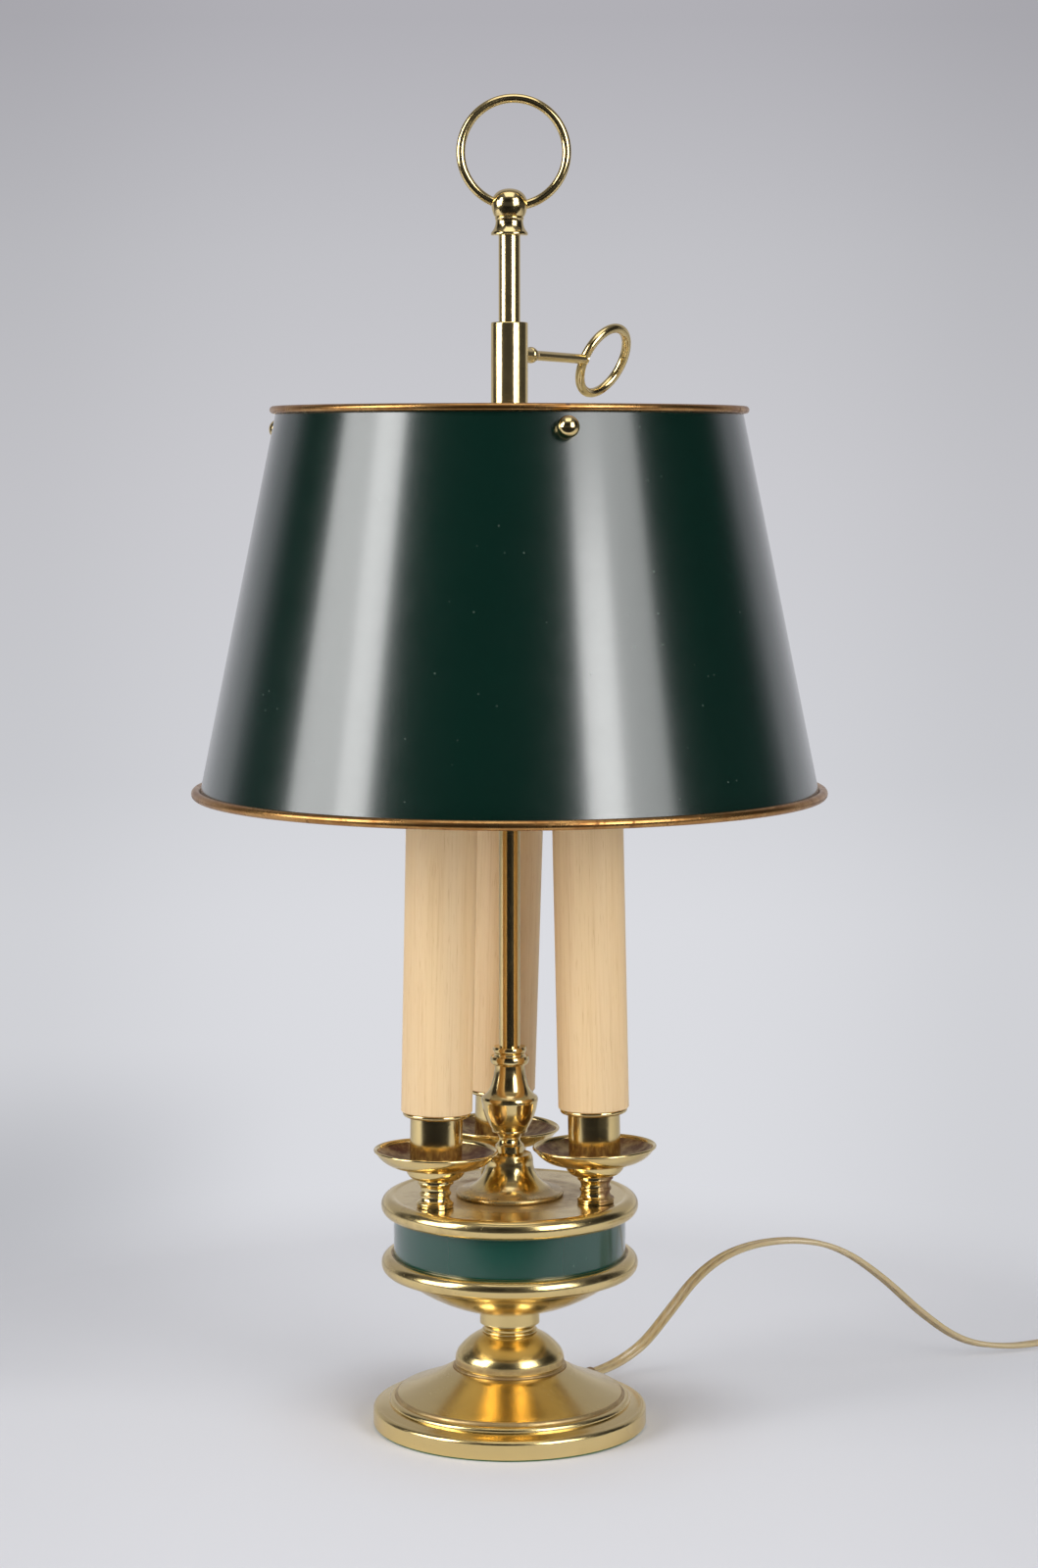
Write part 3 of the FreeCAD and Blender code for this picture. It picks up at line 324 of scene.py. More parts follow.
@dataclass(frozen=True)
class PolishedBrass:
    """Lacquered brass with light tarnish, pits and wiping marks, and zones given by place made darker and browner."""

    name: str
    roughness: float = 0.12
    cloud: float = 0.2
    pits: float = 0.2
    dark_zones: tuple[Aged, ...] = ()
    tarnish_colour: Place = (122, 86, 58)
    colour: Place = (238, 215, 158)
    warmer: Place = (230, 203, 136)

    def build(self) -> Material:
        """Make the material."""
        surface = Surface(self.name)
        clouds = surface.noise(38.0, 5.0, 0.62).between(0.50, 0.78)
        fine = surface.noise(420.0, 4.0, 0.6, 0.3).between(0.56, 0.72)
        specks = surface.spots(620.0, 0.20, 0.16, 0.11) * surface.noise(60.0, 2.0, shift=0.5).between(0.5, 0.62)
        tarnish = clouds * self.cloud + specks * self.pits + clouds * fine * (self.cloud * 1.2)
        # Zones given by place are made darker, browner and duller, mottled.
        if self.dark_zones:
            mottle = surface.noise(170.0, 4.0, 0.62, 0.9).between(0.30, 0.62) * 0.5 + 0.5
            for zone in self.dark_zones:
                tarnish = tarnish + zone.mask(surface) * mottle
        tarnish = tarnish.least(1.0)
        tone = surface.mix(surface.noise(14.0, 2.0, shift=0.7), linear(self.colour), linear(self.warmer))
        wiping = surface.noise(1.0, 2.0, 0.5, 0.2, (260.0, 260.0, 1400.0))
        return surface.finish(Base_Color=surface.mix(tarnish, tone, linear(self.tarnish_colour)),
                              Metallic=1.0 - tarnish * 0.45,
                              Roughness=tarnish * 0.34 + wiping * 0.05 + self.roughness,
                              Normal=surface.bump(fine * 0.4 + specks + wiping * 0.15, 0.00004, 0.5))


@dataclass(frozen=True)
class GiltPaint:
    """Aged gilt on the shade's rolled rims, with worn and chipped places."""

    name: str = "gilt_rim"
    colour: Place = (196, 150, 92)
    streak: Place = (168, 118, 66)
    shadow: Place = (92, 58, 34)

    def build(self) -> Material:
        """Make the material."""
        surface = Surface(self.name)
        streaks = surface.noise(90.0, 4.0, 0.6)
        worn = surface.noise(260.0, 3.0, 0.6, 0.4).between(0.60, 0.72)
        chips = surface.spots(70.0, 0.10, 0.05, 0.9) * surface.noise(30.0, 2.0, shift=0.2).between(0.55, 0.6)
        tone = surface.mix(streaks.between(0.35, 0.7), linear(self.colour), linear(self.streak))
        tone = surface.mix((worn * 0.45 + chips).least(1.0), tone, linear(self.shadow))
        return surface.finish(Base_Color=tone, Metallic=1.0 - chips, Roughness=streaks * 0.16 + worn * 0.2 + 0.2,
                              Normal=surface.bump(streaks + worn, 0.00006, 0.5))


@dataclass(frozen=True)
class Enamel:
    """Sprayed paint with a fine orange-peel surface and a few specks of dust."""

    name: str
    colour: Place
    roughness: float
    peel: float
    speck: float = 0.25
    coat: float = 0.0
    coat_roughness: float = 0.1
    dust: Place = (150, 165, 150)

    def build(self) -> Material:
        """Make the material."""
        surface = Surface(self.name)
        peel = surface.noise(520.0, 2.0, 0.5)
        waves = surface.noise(90.0, 2.0, 0.5, 0.6)
        dust = surface.spots(150.0, 0.075, 0.03, 0.37) * surface.noise(25.0, 2.0, shift=0.1).between(0.4, 0.6)
        tone = surface.mix(surface.noise(12.0, 3.0, shift=0.8), linear(self.colour), linear(self.colour, 0.86))
        return surface.finish(Base_Color=surface.mix(dust * self.speck, tone, linear(self.dust)),
                              Roughness=peel * 0.06 + waves * 0.05 + self.roughness,
                              Coat_Weight=self.coat, Coat_Roughness=self.coat_roughness,
                              Normal=surface.bump(peel * 0.6 + waves + dust * 0.5, 0.00012, self.peel))


@dataclass(frozen=True)
class CandleCard:
    """Cream candle sleeve with fine upright grain. Its UV runs round and along the sleeve."""

    name: str = "candle_cream_grain"
    colour: Place = (240, 208, 160)
    grain: Place = (206, 162, 108)

    def build(self) -> Material:
        """Make the material."""
        surface = Surface(self.name, Wrap.SURFACE)
        threads = surface.noise(1.0, 4.0, 0.65, 0.0, (900.0, 16.0, 1.0))
        broad = surface.noise(1.0, 3.0, 0.6, 3.0, (160.0, 5.0, 1.0))
        ticks = surface.noise(1.0, 2.0, 0.5, 5.0, (1500.0, 90.0, 1.0))
        share = threads.between(0.46, 0.72) * 0.3 + broad.between(0.4, 0.75) * 0.15 + ticks.between(0.6, 0.74) * 0.35
        return surface.finish(Base_Color=surface.mix(share.least(1.0), linear(self.colour), linear(self.grain)),
                              Roughness=0.5 - threads * 0.12,
                              Normal=surface.bump(threads + ticks * 0.5, 0.00008, 0.5),
                              Subsurface_Weight=0.05, Subsurface_Radius=(0.004, 0.002, 0.001))


@dataclass(frozen=True)
class ClearVinyl:
    """Clear gold flat cord with its two stranded cores showing through."""

    name: str = "clear_gold_vinyl"
    skin: Place = (204, 184, 142)
    core: Place = (166, 138, 92)
    strand: Place = (232, 204, 140)

    def build(self) -> Material:
        """Make the material."""
        surface = Surface(self.name)
        across, along = (surface.node("ShaderNodeAttribute", {"attribute_name": name})["Fac"]
                         for name in ("across", "along"))
        core = abs(abs(across) - 1.25).between(0.85, 0.25)
        strands = ((along * 900.0 + across * 2.6).sine() * 0.5 + 0.5) * core
        tone = surface.mix(core * 0.8, linear(self.skin), linear(self.core))
        return surface.finish(Base_Color=surface.mix(strands * 0.35, tone, linear(self.strand)),
                              Roughness=core * 0.06 + 0.24, IOR=1.52, Coat_Weight=0.4, Coat_Roughness=0.08,
                              Subsurface_Weight=0.25, Subsurface_Radius=(0.003, 0.002, 0.001),
                              Normal=surface.bump(strands, 0.00003, 0.4))


@dataclass(frozen=True)
class Moulding:
    """Moulded plastic or rubber with a fine eggshell grain."""

    name: str
    colour: Place

    def build(self) -> Material:
        """Make the material."""
        surface = Surface(self.name)
        grain = surface.noise(1800.0, 2.0, 0.5)
        haze = surface.noise(45.0, 3.0, 0.6, 0.5)
        return surface.finish(Base_Color=surface.mix(haze, linear(self.colour), linear(self.colour, 0.82)),
                              Roughness=haze * 0.12 + 0.38, Normal=surface.bump(grain, 0.00004, 0.35))


@dataclass(frozen=True)
class Felt:
    """Short green felt under the foot."""

    name: str = "green_felt"
    colour: Place = (30, 98, 62)
    fibre: Place = (58, 132, 92)
    shadow: Place = (18, 62, 40)

    def build(self) -> Material:
        """Make the material."""
        surface = Surface(self.name)
        fibre = surface.noise(1500.0, 5.0, 0.75)
        matted = surface.noise(110.0, 3.0, 0.6, 0.3)
        tone = surface.mix(fibre * 0.7, linear(self.colour), linear(self.fibre))
        return surface.finish(Base_Color=surface.mix(matted.between(0.5, 0.8) * 0.5, tone, linear(self.shadow)),
                              Roughness=0.95, Sheen_Weight=0.3, Sheen_Roughness=0.5,
                              Normal=surface.bump(fibre, 0.0004, 0.8))


@dataclass(frozen=True)
class BareMetal:
    """Unpainted metal out of sight: zinc plate, castings and screw caps."""

    name: str
    colour: Place
    metallic: float
    roughness: float
    grain_scale: float

    def build(self) -> Material:
        """Make the material."""
        surface = Surface(self.name)
        grain = surface.noise(self.grain_scale, 4.0, 0.6)
        stain = surface.noise(60.0, 3.0, 0.6, 0.4).between(0.45, 0.75)
        return surface.finish(Base_Color=surface.mix(stain * 0.5, linear(self.colour), linear(self.colour, 0.6)),
                              Metallic=self.metallic, Roughness=grain * 0.2 + self.roughness,
                              Normal=surface.bump(grain, 0.0001, 0.4))


@dataclass(frozen=True)
class FrostedGlass:
    """White frosted bulb glass."""

    name: str = "frosted_bulb_glass"
    colour: Place = (244, 242, 236)
    cloud: Place = (226, 223, 214)

    def build(self) -> Material:
        """Make the material."""
        surface = Surface(self.name)
        frost = surface.noise(900.0, 3.0, 0.6)
        cloud = surface.noise(40.0, 2.0, 0.5, 0.2)
        return surface.finish(Base_Color=surface.mix(cloud, linear(self.colour), linear(self.cloud)),
                              Roughness=frost * 0.2 + 0.3, IOR=1.5, Transmission_Weight=0.25,
                              Subsurface_Weight=0.4, Subsurface_Radius=(0.01, 0.01, 0.01),
                              Normal=surface.bump(frost, 0.00005, 0.3))


def arc_points(start: Point, middle: Point, end: Point) -> list[Point]:
    """Points of the arc from start through middle to end, without the start.

    Args:
        start: First point, as radius and height.
        middle: Point on the arc.
        end: Last point.

    Returns:
        Points about four degrees apart.
    """
    a, b, c = (complex(*point) for point in (start, middle, end))
    ratio = (c - a) / (b - a)
    centre = a + (b - a) * (ratio - abs(ratio) ** 2) / (2j * ratio.imag)
    to_middle, sweep = (cmath.phase((point - centre) / (a - centre)) % math.tau for point in (b, c))
    sweep -= math.tau if to_middle > sweep else 0
    count = max(6, math.ceil(abs(sweep) / math.radians(4)))
    points = [centre + (a - centre) * cmath.rect(1, sweep * i / count) for i in range(1, count)]
    return [(point.real, point.imag) for point in points] + [end]


def held(start: Point, end: Point, reach: float = 0.2) -> list[Point]:
    """Points of a straight, with one near each end so that its shading stays straight.

    Args:
        start: First point.
        end: Last point.
        reach: Distance of the added points from the ends, in millimetres.

    Returns:
        The points after the start.
    """
    length = math.dist(start, end)
    if length < 5 * reach or max(start[0], end[0]) < reach:
        return [end]
    return [(start[0] + (end[0] - start[0]) * share, start[1] + (end[1] - start[1]) * share)
            for share in (reach / length, 1 - reach / length)] + [end]


def traced(*steps: Step) -> list[Point]:
    """Outline as a list of points.

    Args:
        steps: Points as (radius, height). A pair of points is an arc through the first to the second.

    Returns:
        Points of the closed outline in order, in millimetres.
    """
    points: list[Point] = [steps[0]]
    for step in steps[1:]:
        points += arc_points(points[-1], *step) if isinstance(step[0], tuple) else held(points[-1], step)
    return points


def smooth(mesh: Mesh, corner: float = 32.0) -> None:
    """Shade a mesh smooth except across edges sharper than a corner in degrees."""
    mesh.shade_smooth()
    mesh.set_sharp_from_angle(angle=math.radians(corner))


def shown(name: str, mesh: Mesh, *materials: Material) -> Piece:
    """Put a mesh in the scene as an object with its materials.

    Args:
        name: Name of the piece.
        mesh: Finished mesh, in metres.
        materials: Materials in slot order.

    Returns:
        The new object, at the origin.
    """
    mesh.name = name
    mesh.materials.clear()
    for material in materials:
        mesh.materials.append(material)
    piece = bpy.data.objects.new(name, mesh)
    bpy.context.scene.collection.objects.link(piece)
    return piece


def lathe_mesh(outline: Sequence[Point], segments: int) -> Mesh:
    """Turn a closed outline about Z.

    Args:
        outline: Points as (radius, height), in millimetres.
        segments: Number of steps round the axis.

    Returns:
        Mesh in metres, with a UV that runs round it and along its outline, in metres.
    """
    vertices: list[Place] = []
    rings: list[list[int]] = []
    turns = [cmath.rect(MM, math.tau * i / segments) for i in range(segments)]
    for radius, height in outline:
        ring = turns if radius > 1e-6 else turns[:1]
        rings.append([len(vertices) + i for i in range(len(ring))])
        vertices += [(radius * turn.real, radius * turn.imag, height * MM) for turn in ring]
    closing = [*outline[1:], outline[0]]
    along = [0.0, *accumulate(math.dist(start, end) * MM for start, end in zip(outline, closing))]
    round_step = max(radius for radius, _ in outline) * MM * math.tau / segments
    faces: list[tuple[int, ...]] = []
    marks: list[float] = []
    for k, (ring, other) in enumerate(zip(rings, rings[1:] + rings[:1])):
        for i in range(segments if len(ring) + len(other) > 2 else 0):
            corners: dict[int, Point] = {}
            for loop, turn, step in ((ring, i, k), (ring, i + 1, k), (other, i + 1, k + 1), (other, i, k + 1)):
                corners.setdefault(loop[turn % len(loop)], (turn * round_step, along[step]))
            faces.append(tuple(corners))
            marks += [value for mark in corners.values() for value in mark]
    mesh = bpy.data.meshes.new("turned")
    mesh.from_pydata(vertices, [], faces)
    mesh.uv_layers.new(name="UVMap").data.foreach_set("uv", marks)
    work = bmesh.new()
    work.from_mesh(mesh)
    bmesh.ops.recalc_face_normals(work, faces=work.faces)
    work.to_mesh(mesh)
    work.free()
    smooth(mesh)
    return mesh


def ring_mesh(radius: float, wire: float, place: Matrix, segments: int = 128, sides: int = 28) -> Mesh:
    """Round ring.

    Args:
        radius: Radius of the centreline, in millimetres.
        wire: Radius of the wire, in millimetres.
        place: Where the ring's own frame lies, in metres.
        segments: Steps round the ring.
        sides: Steps round the wire.

    Returns:
        The mesh.
    """
    mesh = lathe_mesh([(radius + wire * math.cos(math.tau * i / sides), wire * math.sin(math.tau * i / sides))
                       for i in range(sides)], segments)
    mesh.transform(place)
    return mesh


def bar_mesh(outline: Sequence[Point], start: Vector, heading: Vector, segments: int) -> Mesh:
    """Turned piece whose axis runs from a point along a heading.

    Args:
        outline: Points as (radius, distance), in millimetres.
        start: Where the distance is 0, in metres.
        heading: Direction of the axis.
        segments: Steps round the axis.

    Returns:
        The mesh.
    """
    mesh = lathe_mesh(outline, segments)
    mesh.transform(Matrix.Translation(start) @ heading.to_track_quat("Z", "Y").to_matrix().to_4x4())
    return mesh


def joined(name: str, meshes: Iterable[Mesh], material: Material) -> Piece:
    """One piece from several meshes.

    Args:
        name: Name of the piece.
        meshes: Meshes in metres.
        material: Finish of the whole piece.

    Returns:
        The new object.
    """
    work = bmesh.new()
    for mesh in meshes:
        work.from_mesh(mesh)
    whole = bpy.data.meshes.new(name)
    work.to_mesh(whole)
    work.free()
    smooth(whole)
    return shown(name, whole, material)


def declare(piece: Piece, body: Body, slot: Slot, *nodes: str) -> None:
    """Say what a piece rides on and what it stands for.

    Args:
        piece: The finished piece.
        body: Body that carries it.
        slot: Material slot of the record. Not used.
        nodes: CAD nodes that it replaces.
    """
    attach(piece, body.value)
    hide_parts(*nodes)
    LOG.info("%s rides on %s and stands for %s", piece.name, body.value, ", ".join(nodes))


def turned(name: str, node: str, material: Material, *steps: Step, segments: int = 160,
           body: Body = Body.LAMP, slot: Slot = Slot.BRASS) -> None:
    """Make and declare a turned piece about the lamp's axis.

    Args:
        name: Name of the piece.
        node: CAD node that it replaces.
        material: Its finish.
        steps: Outline in millimetres, as traced takes it.
        segments: Number of steps round the axis.
        body: Body that carries it.
        slot: Material slot of the record.
    """
    declare(shown(name, lathe_mesh(traced(*steps), segments), material), body, slot, node)


def dress(material: Material, *nodes: str) -> None:
    """Give the CAD nodes of these names a finish."""
    for name in nodes:
        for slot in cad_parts[name].material_slots:
            slot.material = material


class GeometryTree(Graph):
    """Geometry Nodes tree with named inputs."""

    def __init__(self, name: str, **inputs: str) -> None:
        """Start a tree.

        Args:
            name: Name of the tree.
            inputs: Kind of socket of each named input after the geometry.
        """
        self.group = bpy.data.node_groups.new(name, "GeometryNodeTree")
        super().__init__(self.group)
        self.named = {label: self.group.interface.new_socket(label, in_out="INPUT", socket_type="NodeSocket" + kind)
                      for label, kind in {"Geometry": "Geometry", **inputs}.items()}
        self.group.interface.new_socket("Geometry", in_out="OUTPUT", socket_type="NodeSocketGeometry")
        self.given = self.node("NodeGroupInput")

    def end(self, geometry: Made) -> None:
        """Realize the instances, set the material and close the tree."""
        real = self.node("GeometryNodeRealizeInstances", None, {0: geometry})
        finished = self.node("GeometryNodeSetMaterial", None,
                             {"Geometry": real, "Material": self.given["Material"]})
        self.node("NodeGroupOutput", None, {0: finished})

    def applied(self, piece: Piece, name: str, values: dict[str, Any]) -> Mesh:
        """Run the tree on an object and take the result as a plain mesh.

        Args:
            piece: Object that the tree works on. It is deleted.
            name: Name of the modifier.
            values: Value of each named input.

        Returns:
            The resulting mesh.
        """
        modifier = piece.modifiers.new(name, "NODES")
        modifier.node_group = self.group
        for label, value in values.items():
            modifier[self.named[label].identifier] = value
        graph = bpy.context.evaluated_depsgraph_get()
        mesh = bpy.data.meshes.new_from_object(piece.evaluated_get(graph), depsgraph=graph)
        bpy.data.objects.remove(piece, do_unlink=True)
        return mesh


class RingArray(GeometryTree):
    """Copies of a piece, evenly spaced about the Z axis."""

    def __init__(self) -> None:
        """Build the tree."""
        super().__init__("ring_array", Count="Int", First="Float", Step="Float", Offset="Vector",
                         Lean="Vector", Material="Material")
        given = self.given
        placed = self.node("GeometryNodeTransform", None, {
            "Geometry": given["Geometry"], "Rotation": self.rotation(given["Lean"]),
            "Translation": given["Offset"]})
        points = self.node("GeometryNodePoints", None, {"Count": given["Count"]})
        angle = self.node("GeometryNodeInputIndex")[0] * given["Step"] + given["First"]
        turn = self.node("ShaderNodeCombineXYZ", None, {2: angle})
        self.end(self.node("GeometryNodeInstanceOnPoints", None, {
            "Points": points, "Instance": placed, "Rotation": self.rotation(turn)}))

    def rotation(self, angles: Made | Link) -> Made:
        """Turn three angles into a rotation."""
        return self.node("FunctionNodeEulerToRotation", None, {0: angles})

    def around(self, name: str, mesh: Mesh, material: Material, count: int, first: float,
               radius: float = 0.0, height: float = 0.0, step: float | None = None,
               lean: Point = (0.0, 0.0)) -> Piece:
        """Make the copies.

        Args:
            name: Name of the piece.
            mesh: Mesh of one copy, in metres.
            material: Finish.
            count: Number of copies.
            first: Azimuth of the first, in degrees.
            radius: Distance from the axis, in millimetres.
            height: Height above the floor, in millimetres.
            step: Degrees from one copy to the next. Without it they fill the round.
            lean: Turn of each copy about its own X and Y before it is placed, in degrees.

        Returns:
            One object with all the copies.
        """
        whole = self.applied(shown(name + "_one", mesh, material), name, {
            "Count": count, "First": math.radians(first), "Step": math.radians(step or 360 / count),
            "Offset": (radius * MM, 0.0, height * MM), "Material": material,
            "Lean": (math.radians(lean[0]), math.radians(lean[1]), 0.0)})
        smooth(whole)
        return shown(name, whole, material)


class SweptSection(GeometryTree):
    """A section carried along a curve, with how far along and across stored on the surface."""

    def __init__(self) -> None:
        """Build the tree."""
        super().__init__("swept_section", Section="Object", Material="Material")
        level = self.node("GeometryNodeSetCurveNormal", {"mode": "Z_UP"}, {"Curve": self.given["Geometry"]})
        length = self.node("GeometryNodeSplineParameter")["Length"]
        section = self.node("GeometryNodeObjectInfo", None, {"Object": self.given["Section"]})["Geometry"]
        side = self.node("ShaderNodeSeparateXYZ", None, {0: self.node("GeometryNodeInputPosition")})[0]
        self.end(self.node("GeometryNodeCurveToMesh", None, {
            "Curve": self.stored(level, "along", length), "Profile Curve": self.stored(section, "across", side / MM),
            "Fill Caps": True}))

    def stored(self, geometry: Made | Link, name: str, value: Link) -> Made:
        """Geometry with a value kept on its points."""
        return self.node("GeometryNodeStoreNamedAttribute", {"data_type": "FLOAT", "domain": "POINT"},
                         {"Geometry": geometry, "Name": name, "Value": value})


def curve_piece(name: str, kind: str, points: Iterable[Sequence[float]], twists: Sequence[float] = ()) -> Piece:
    """Curve object with one spline.

    Args:
        name: Name of the curve.
        kind: Type of the spline.
        points: Its points, in millimetres.
        twists: Twist at each point, in degrees.

    Returns:
        The curve object, without a section.
    """
    curve = bpy.data.curves.new(name, "CURVE")
    curve.dimensions = "3D" if kind == "NURBS" else "2D"
    spline = curve.splines.new(kind)
    places = [(*(value * MM for value in point), 1.0) for point in points]
    spline.points.add(len(places) - 1)
    for point, place in zip(spline.points, places):
        point.co = place
    for point, twist in zip(spline.points, twists):
        point.tilt = math.radians(twist)
    piece = bpy.data.objects.new(name, curve)
    bpy.context.scene.collection.objects.link(piece)
    return piece


@dataclass
class FlatCord:
    """Flat twin cord: its section, its two stretches and what is on them. Sizes in millimetres."""

    vinyl: Material
    moulding: Material
    wheel: Piece
    width: float = 5.2
    thickness: float = 2.7
    mouth: Place = (38.1546, 61.0598, 5.0)
    route: tuple[Place, ...] = (
        (44.6, 69.6, 4.6), (54.1, 78.0, 7.2), (64.3, 83.4, 13.5), (75.3, 86.0, 27.0),
        (91.0, 85.5, 48.2), (110.0, 86.3, 60.0), (135.4, 90.0, 63.1), (158.4, 95.5, 57.5),
        (180.0, 100.8, 41.5), (199.0, 105.5, 22.6), (220.0, 110.1, 6.8), (242.5, 115.5, 2.8),
        (261.5, 123.5, 2.9), (277.5, 130.5, 3.6), (290.5, 134.5, 6.2), (302.0, 136.0, 8.0),
        (313.0, 136.0, 8.0))
    route_twists: tuple[float, ...] = (20, 25, 35, 60, 75, 50, 15, 0, -12, -25, -32, -22, -8, -2, 0, 0, 0, 0)
    run_length: float = 331.0
    coil_centre: Point = (363.0, 72.0)
    outer: float = 40.0
    inner: float = 22.7
    dip: float = 1.4
    turns_down: int = 3
    turns_up: float = 2.75
    steps_a_turn: int = 16
    low: float = 2.6
    layer: float = 3.2
    coil_length: float = 1317.0
    strap_wall: float = 0.6
    strap_width: float = 6.0
    strap_bend: float = 1.6
    strap_top: float = 7.6
    strap_reach: Point = (18.4, 42.9)
    lead_in: tuple[Place, ...] = (
        (371.0, 136.0, 8.0), (380.0, 136.0, 7.9), (394.5, 135.4, 7.0), (402.8, 127.0, 5.6),
        (403.4, 109.0, 3.6), (403.6, 91.0, 2.7))
    lead_out: tuple[Place, ...] = (
        (352.0, 31.7, 5.9), (341.0, 31.5, 5.6), (331.0, 31.5, 5.6), (321.0, 31.5, 5.6))
    sweep: SweptSection = field(default_factory=SweptSection)

    def section(self) -> Piece:
        """Closed outline of the two joined lobes, lying along X."""
        lobe = self.thickness / 2
        points = []
        for side in (1, -1):
            for i in range(-5, 6):
                angle = math.radians(i * 25) + (0 if side > 0 else math.pi)
                points.append((side * (self.width / 2 - lobe) + lobe * math.cos(angle), lobe * math.sin(angle), 0.0))
            points.append((0.0, side * lobe * 0.62, 0.0))
        piece = curve_piece("cord_section", "POLY", points)
        piece.data.splines[0].use_cyclic_u = True
        return piece

    def coil_points(self) -> list[Place]:
        """Control points of the coil: in on the floor, half a turn up, and out on top."""
        fall = (self.outer - self.inner) / self.turns_down
        outwards = 1 / (0.75 + 0.25 * math.cos(math.tau / self.steps_a_turn))
        points = []
        for i in range(1, round((self.turns_down + 0.5 + self.turns_up) * self.steps_a_turn) + 1):
            turn = i / self.steps_a_turn
            climb = min(max((turn - self.turns_down) * 2, 0.0), 1.0)
            if turn <= self.turns_down:
                radius = self.outer - fall * turn
            elif climb < 1.0:
                radius = self.inner - self.dip * math.sin(math.pi * climb)
            else:
                radius = self.inner + fall * (turn - self.turns_down - 0.5)
            spot = complex(*self.coil_centre) + cmath.rect(radius * outwards, -math.tau * turn)
            points.append((spot.real, spot.imag, self.low + self.layer * climb * climb * (3 - 2 * climb)))
        return points

    def strap(self) -> Piece:
        """Moulded strap round the bundle of the coil."""
        wall, half, bend = self.strap_wall, self.strap_width / 2, self.strap_bend
        left, right = self.strap_reach
        corners = ((right - bend, self.strap_top - bend), (left + bend, self.strap_top - bend),
                   (left + bend, wall + bend), (right - bend, wall + bend))
        vertices = []
        for radius, y in ((bend + wall, -half), (bend + wall, half), (bend, half), (bend, -half)):
            for quarter, (x, z) in enumerate(corners):
                for i in range(9):
                    spot = complex(x, z) + cmath.rect(radius, math.pi / 2 * (quarter + i / 8))
                    vertices.append(Vector((spot.real + self.coil_centre[0], y + self.coil_centre[1], spot.imag)) * MM)
        count = len(vertices) // 4
        faces = [(ring * count + i, ring * count + (i + 1) % count,
                  (ring + 1) % 4 * count + (i + 1) % count, (ring + 1) % 4 * count + i)
                 for ring in range(4) for i in range(count)]
        mesh = bpy.data.meshes.new("coil_strap")
        mesh.from_pydata(vertices, [], faces)
        smooth(mesh, 40.0)
        strap = shown("coil_strap", mesh, self.moulding)
        declare(strap, Body.LAMP, Slot.MOULDING, "coil_tie")
        return strap

    def stretch(self, name: str, node: str, points: Sequence[Place],
                twists: Sequence[float] = ()) -> tuple[Piece, list[Place]]:
        """Make and declare one stretch of cord.

        Args:
            name: Name of the piece.
            node: CAD node that it replaces.
            points: Control points, in millimetres.
            twists: Twist at each point, in degrees.

        Returns:
            The piece, and the points that its centreline follows.
        """
        route = curve_piece(name + "_route", "NURBS", points, twists)
        spline = route.data.splines[0]
        spline.order_u = 3
        spline.use_endpoint_u = True
        spline.resolution_u = 10
        line = [tuple(vertex.co) for vertex in bpy.data.meshes.new_from_object(route).vertices]
        section = self.section()
        mesh = self.sweep.applied(route, name, {"Section": section, "Material": self.vinyl})
        bpy.data.objects.remove(section, do_unlink=True)
        smooth(mesh, 50.0)
        cord = shown(name, mesh, self.vinyl)
        declare(cord, Body.LAMP, Slot.CORD, node)
        return cord, line

    def build(self) -> None:
        """Make both stretches and the strap."""
        cord, line = self.stretch("flat_cord_run", "cord_run", (self.mouth, *self.route), self.route_twists)
        [value * MM for value in self.mouth]
        self.run_length * MM
        self.width * MM
        cord, line = self.stretch("flat_cord_coil", "cord_coil", (*self.lead_in, *self.coil_points(), *self.lead_out))
        [value * MM for value in self.lead_in[0]]
        self.coil_length * MM
        self.width * MM
        self.strap()


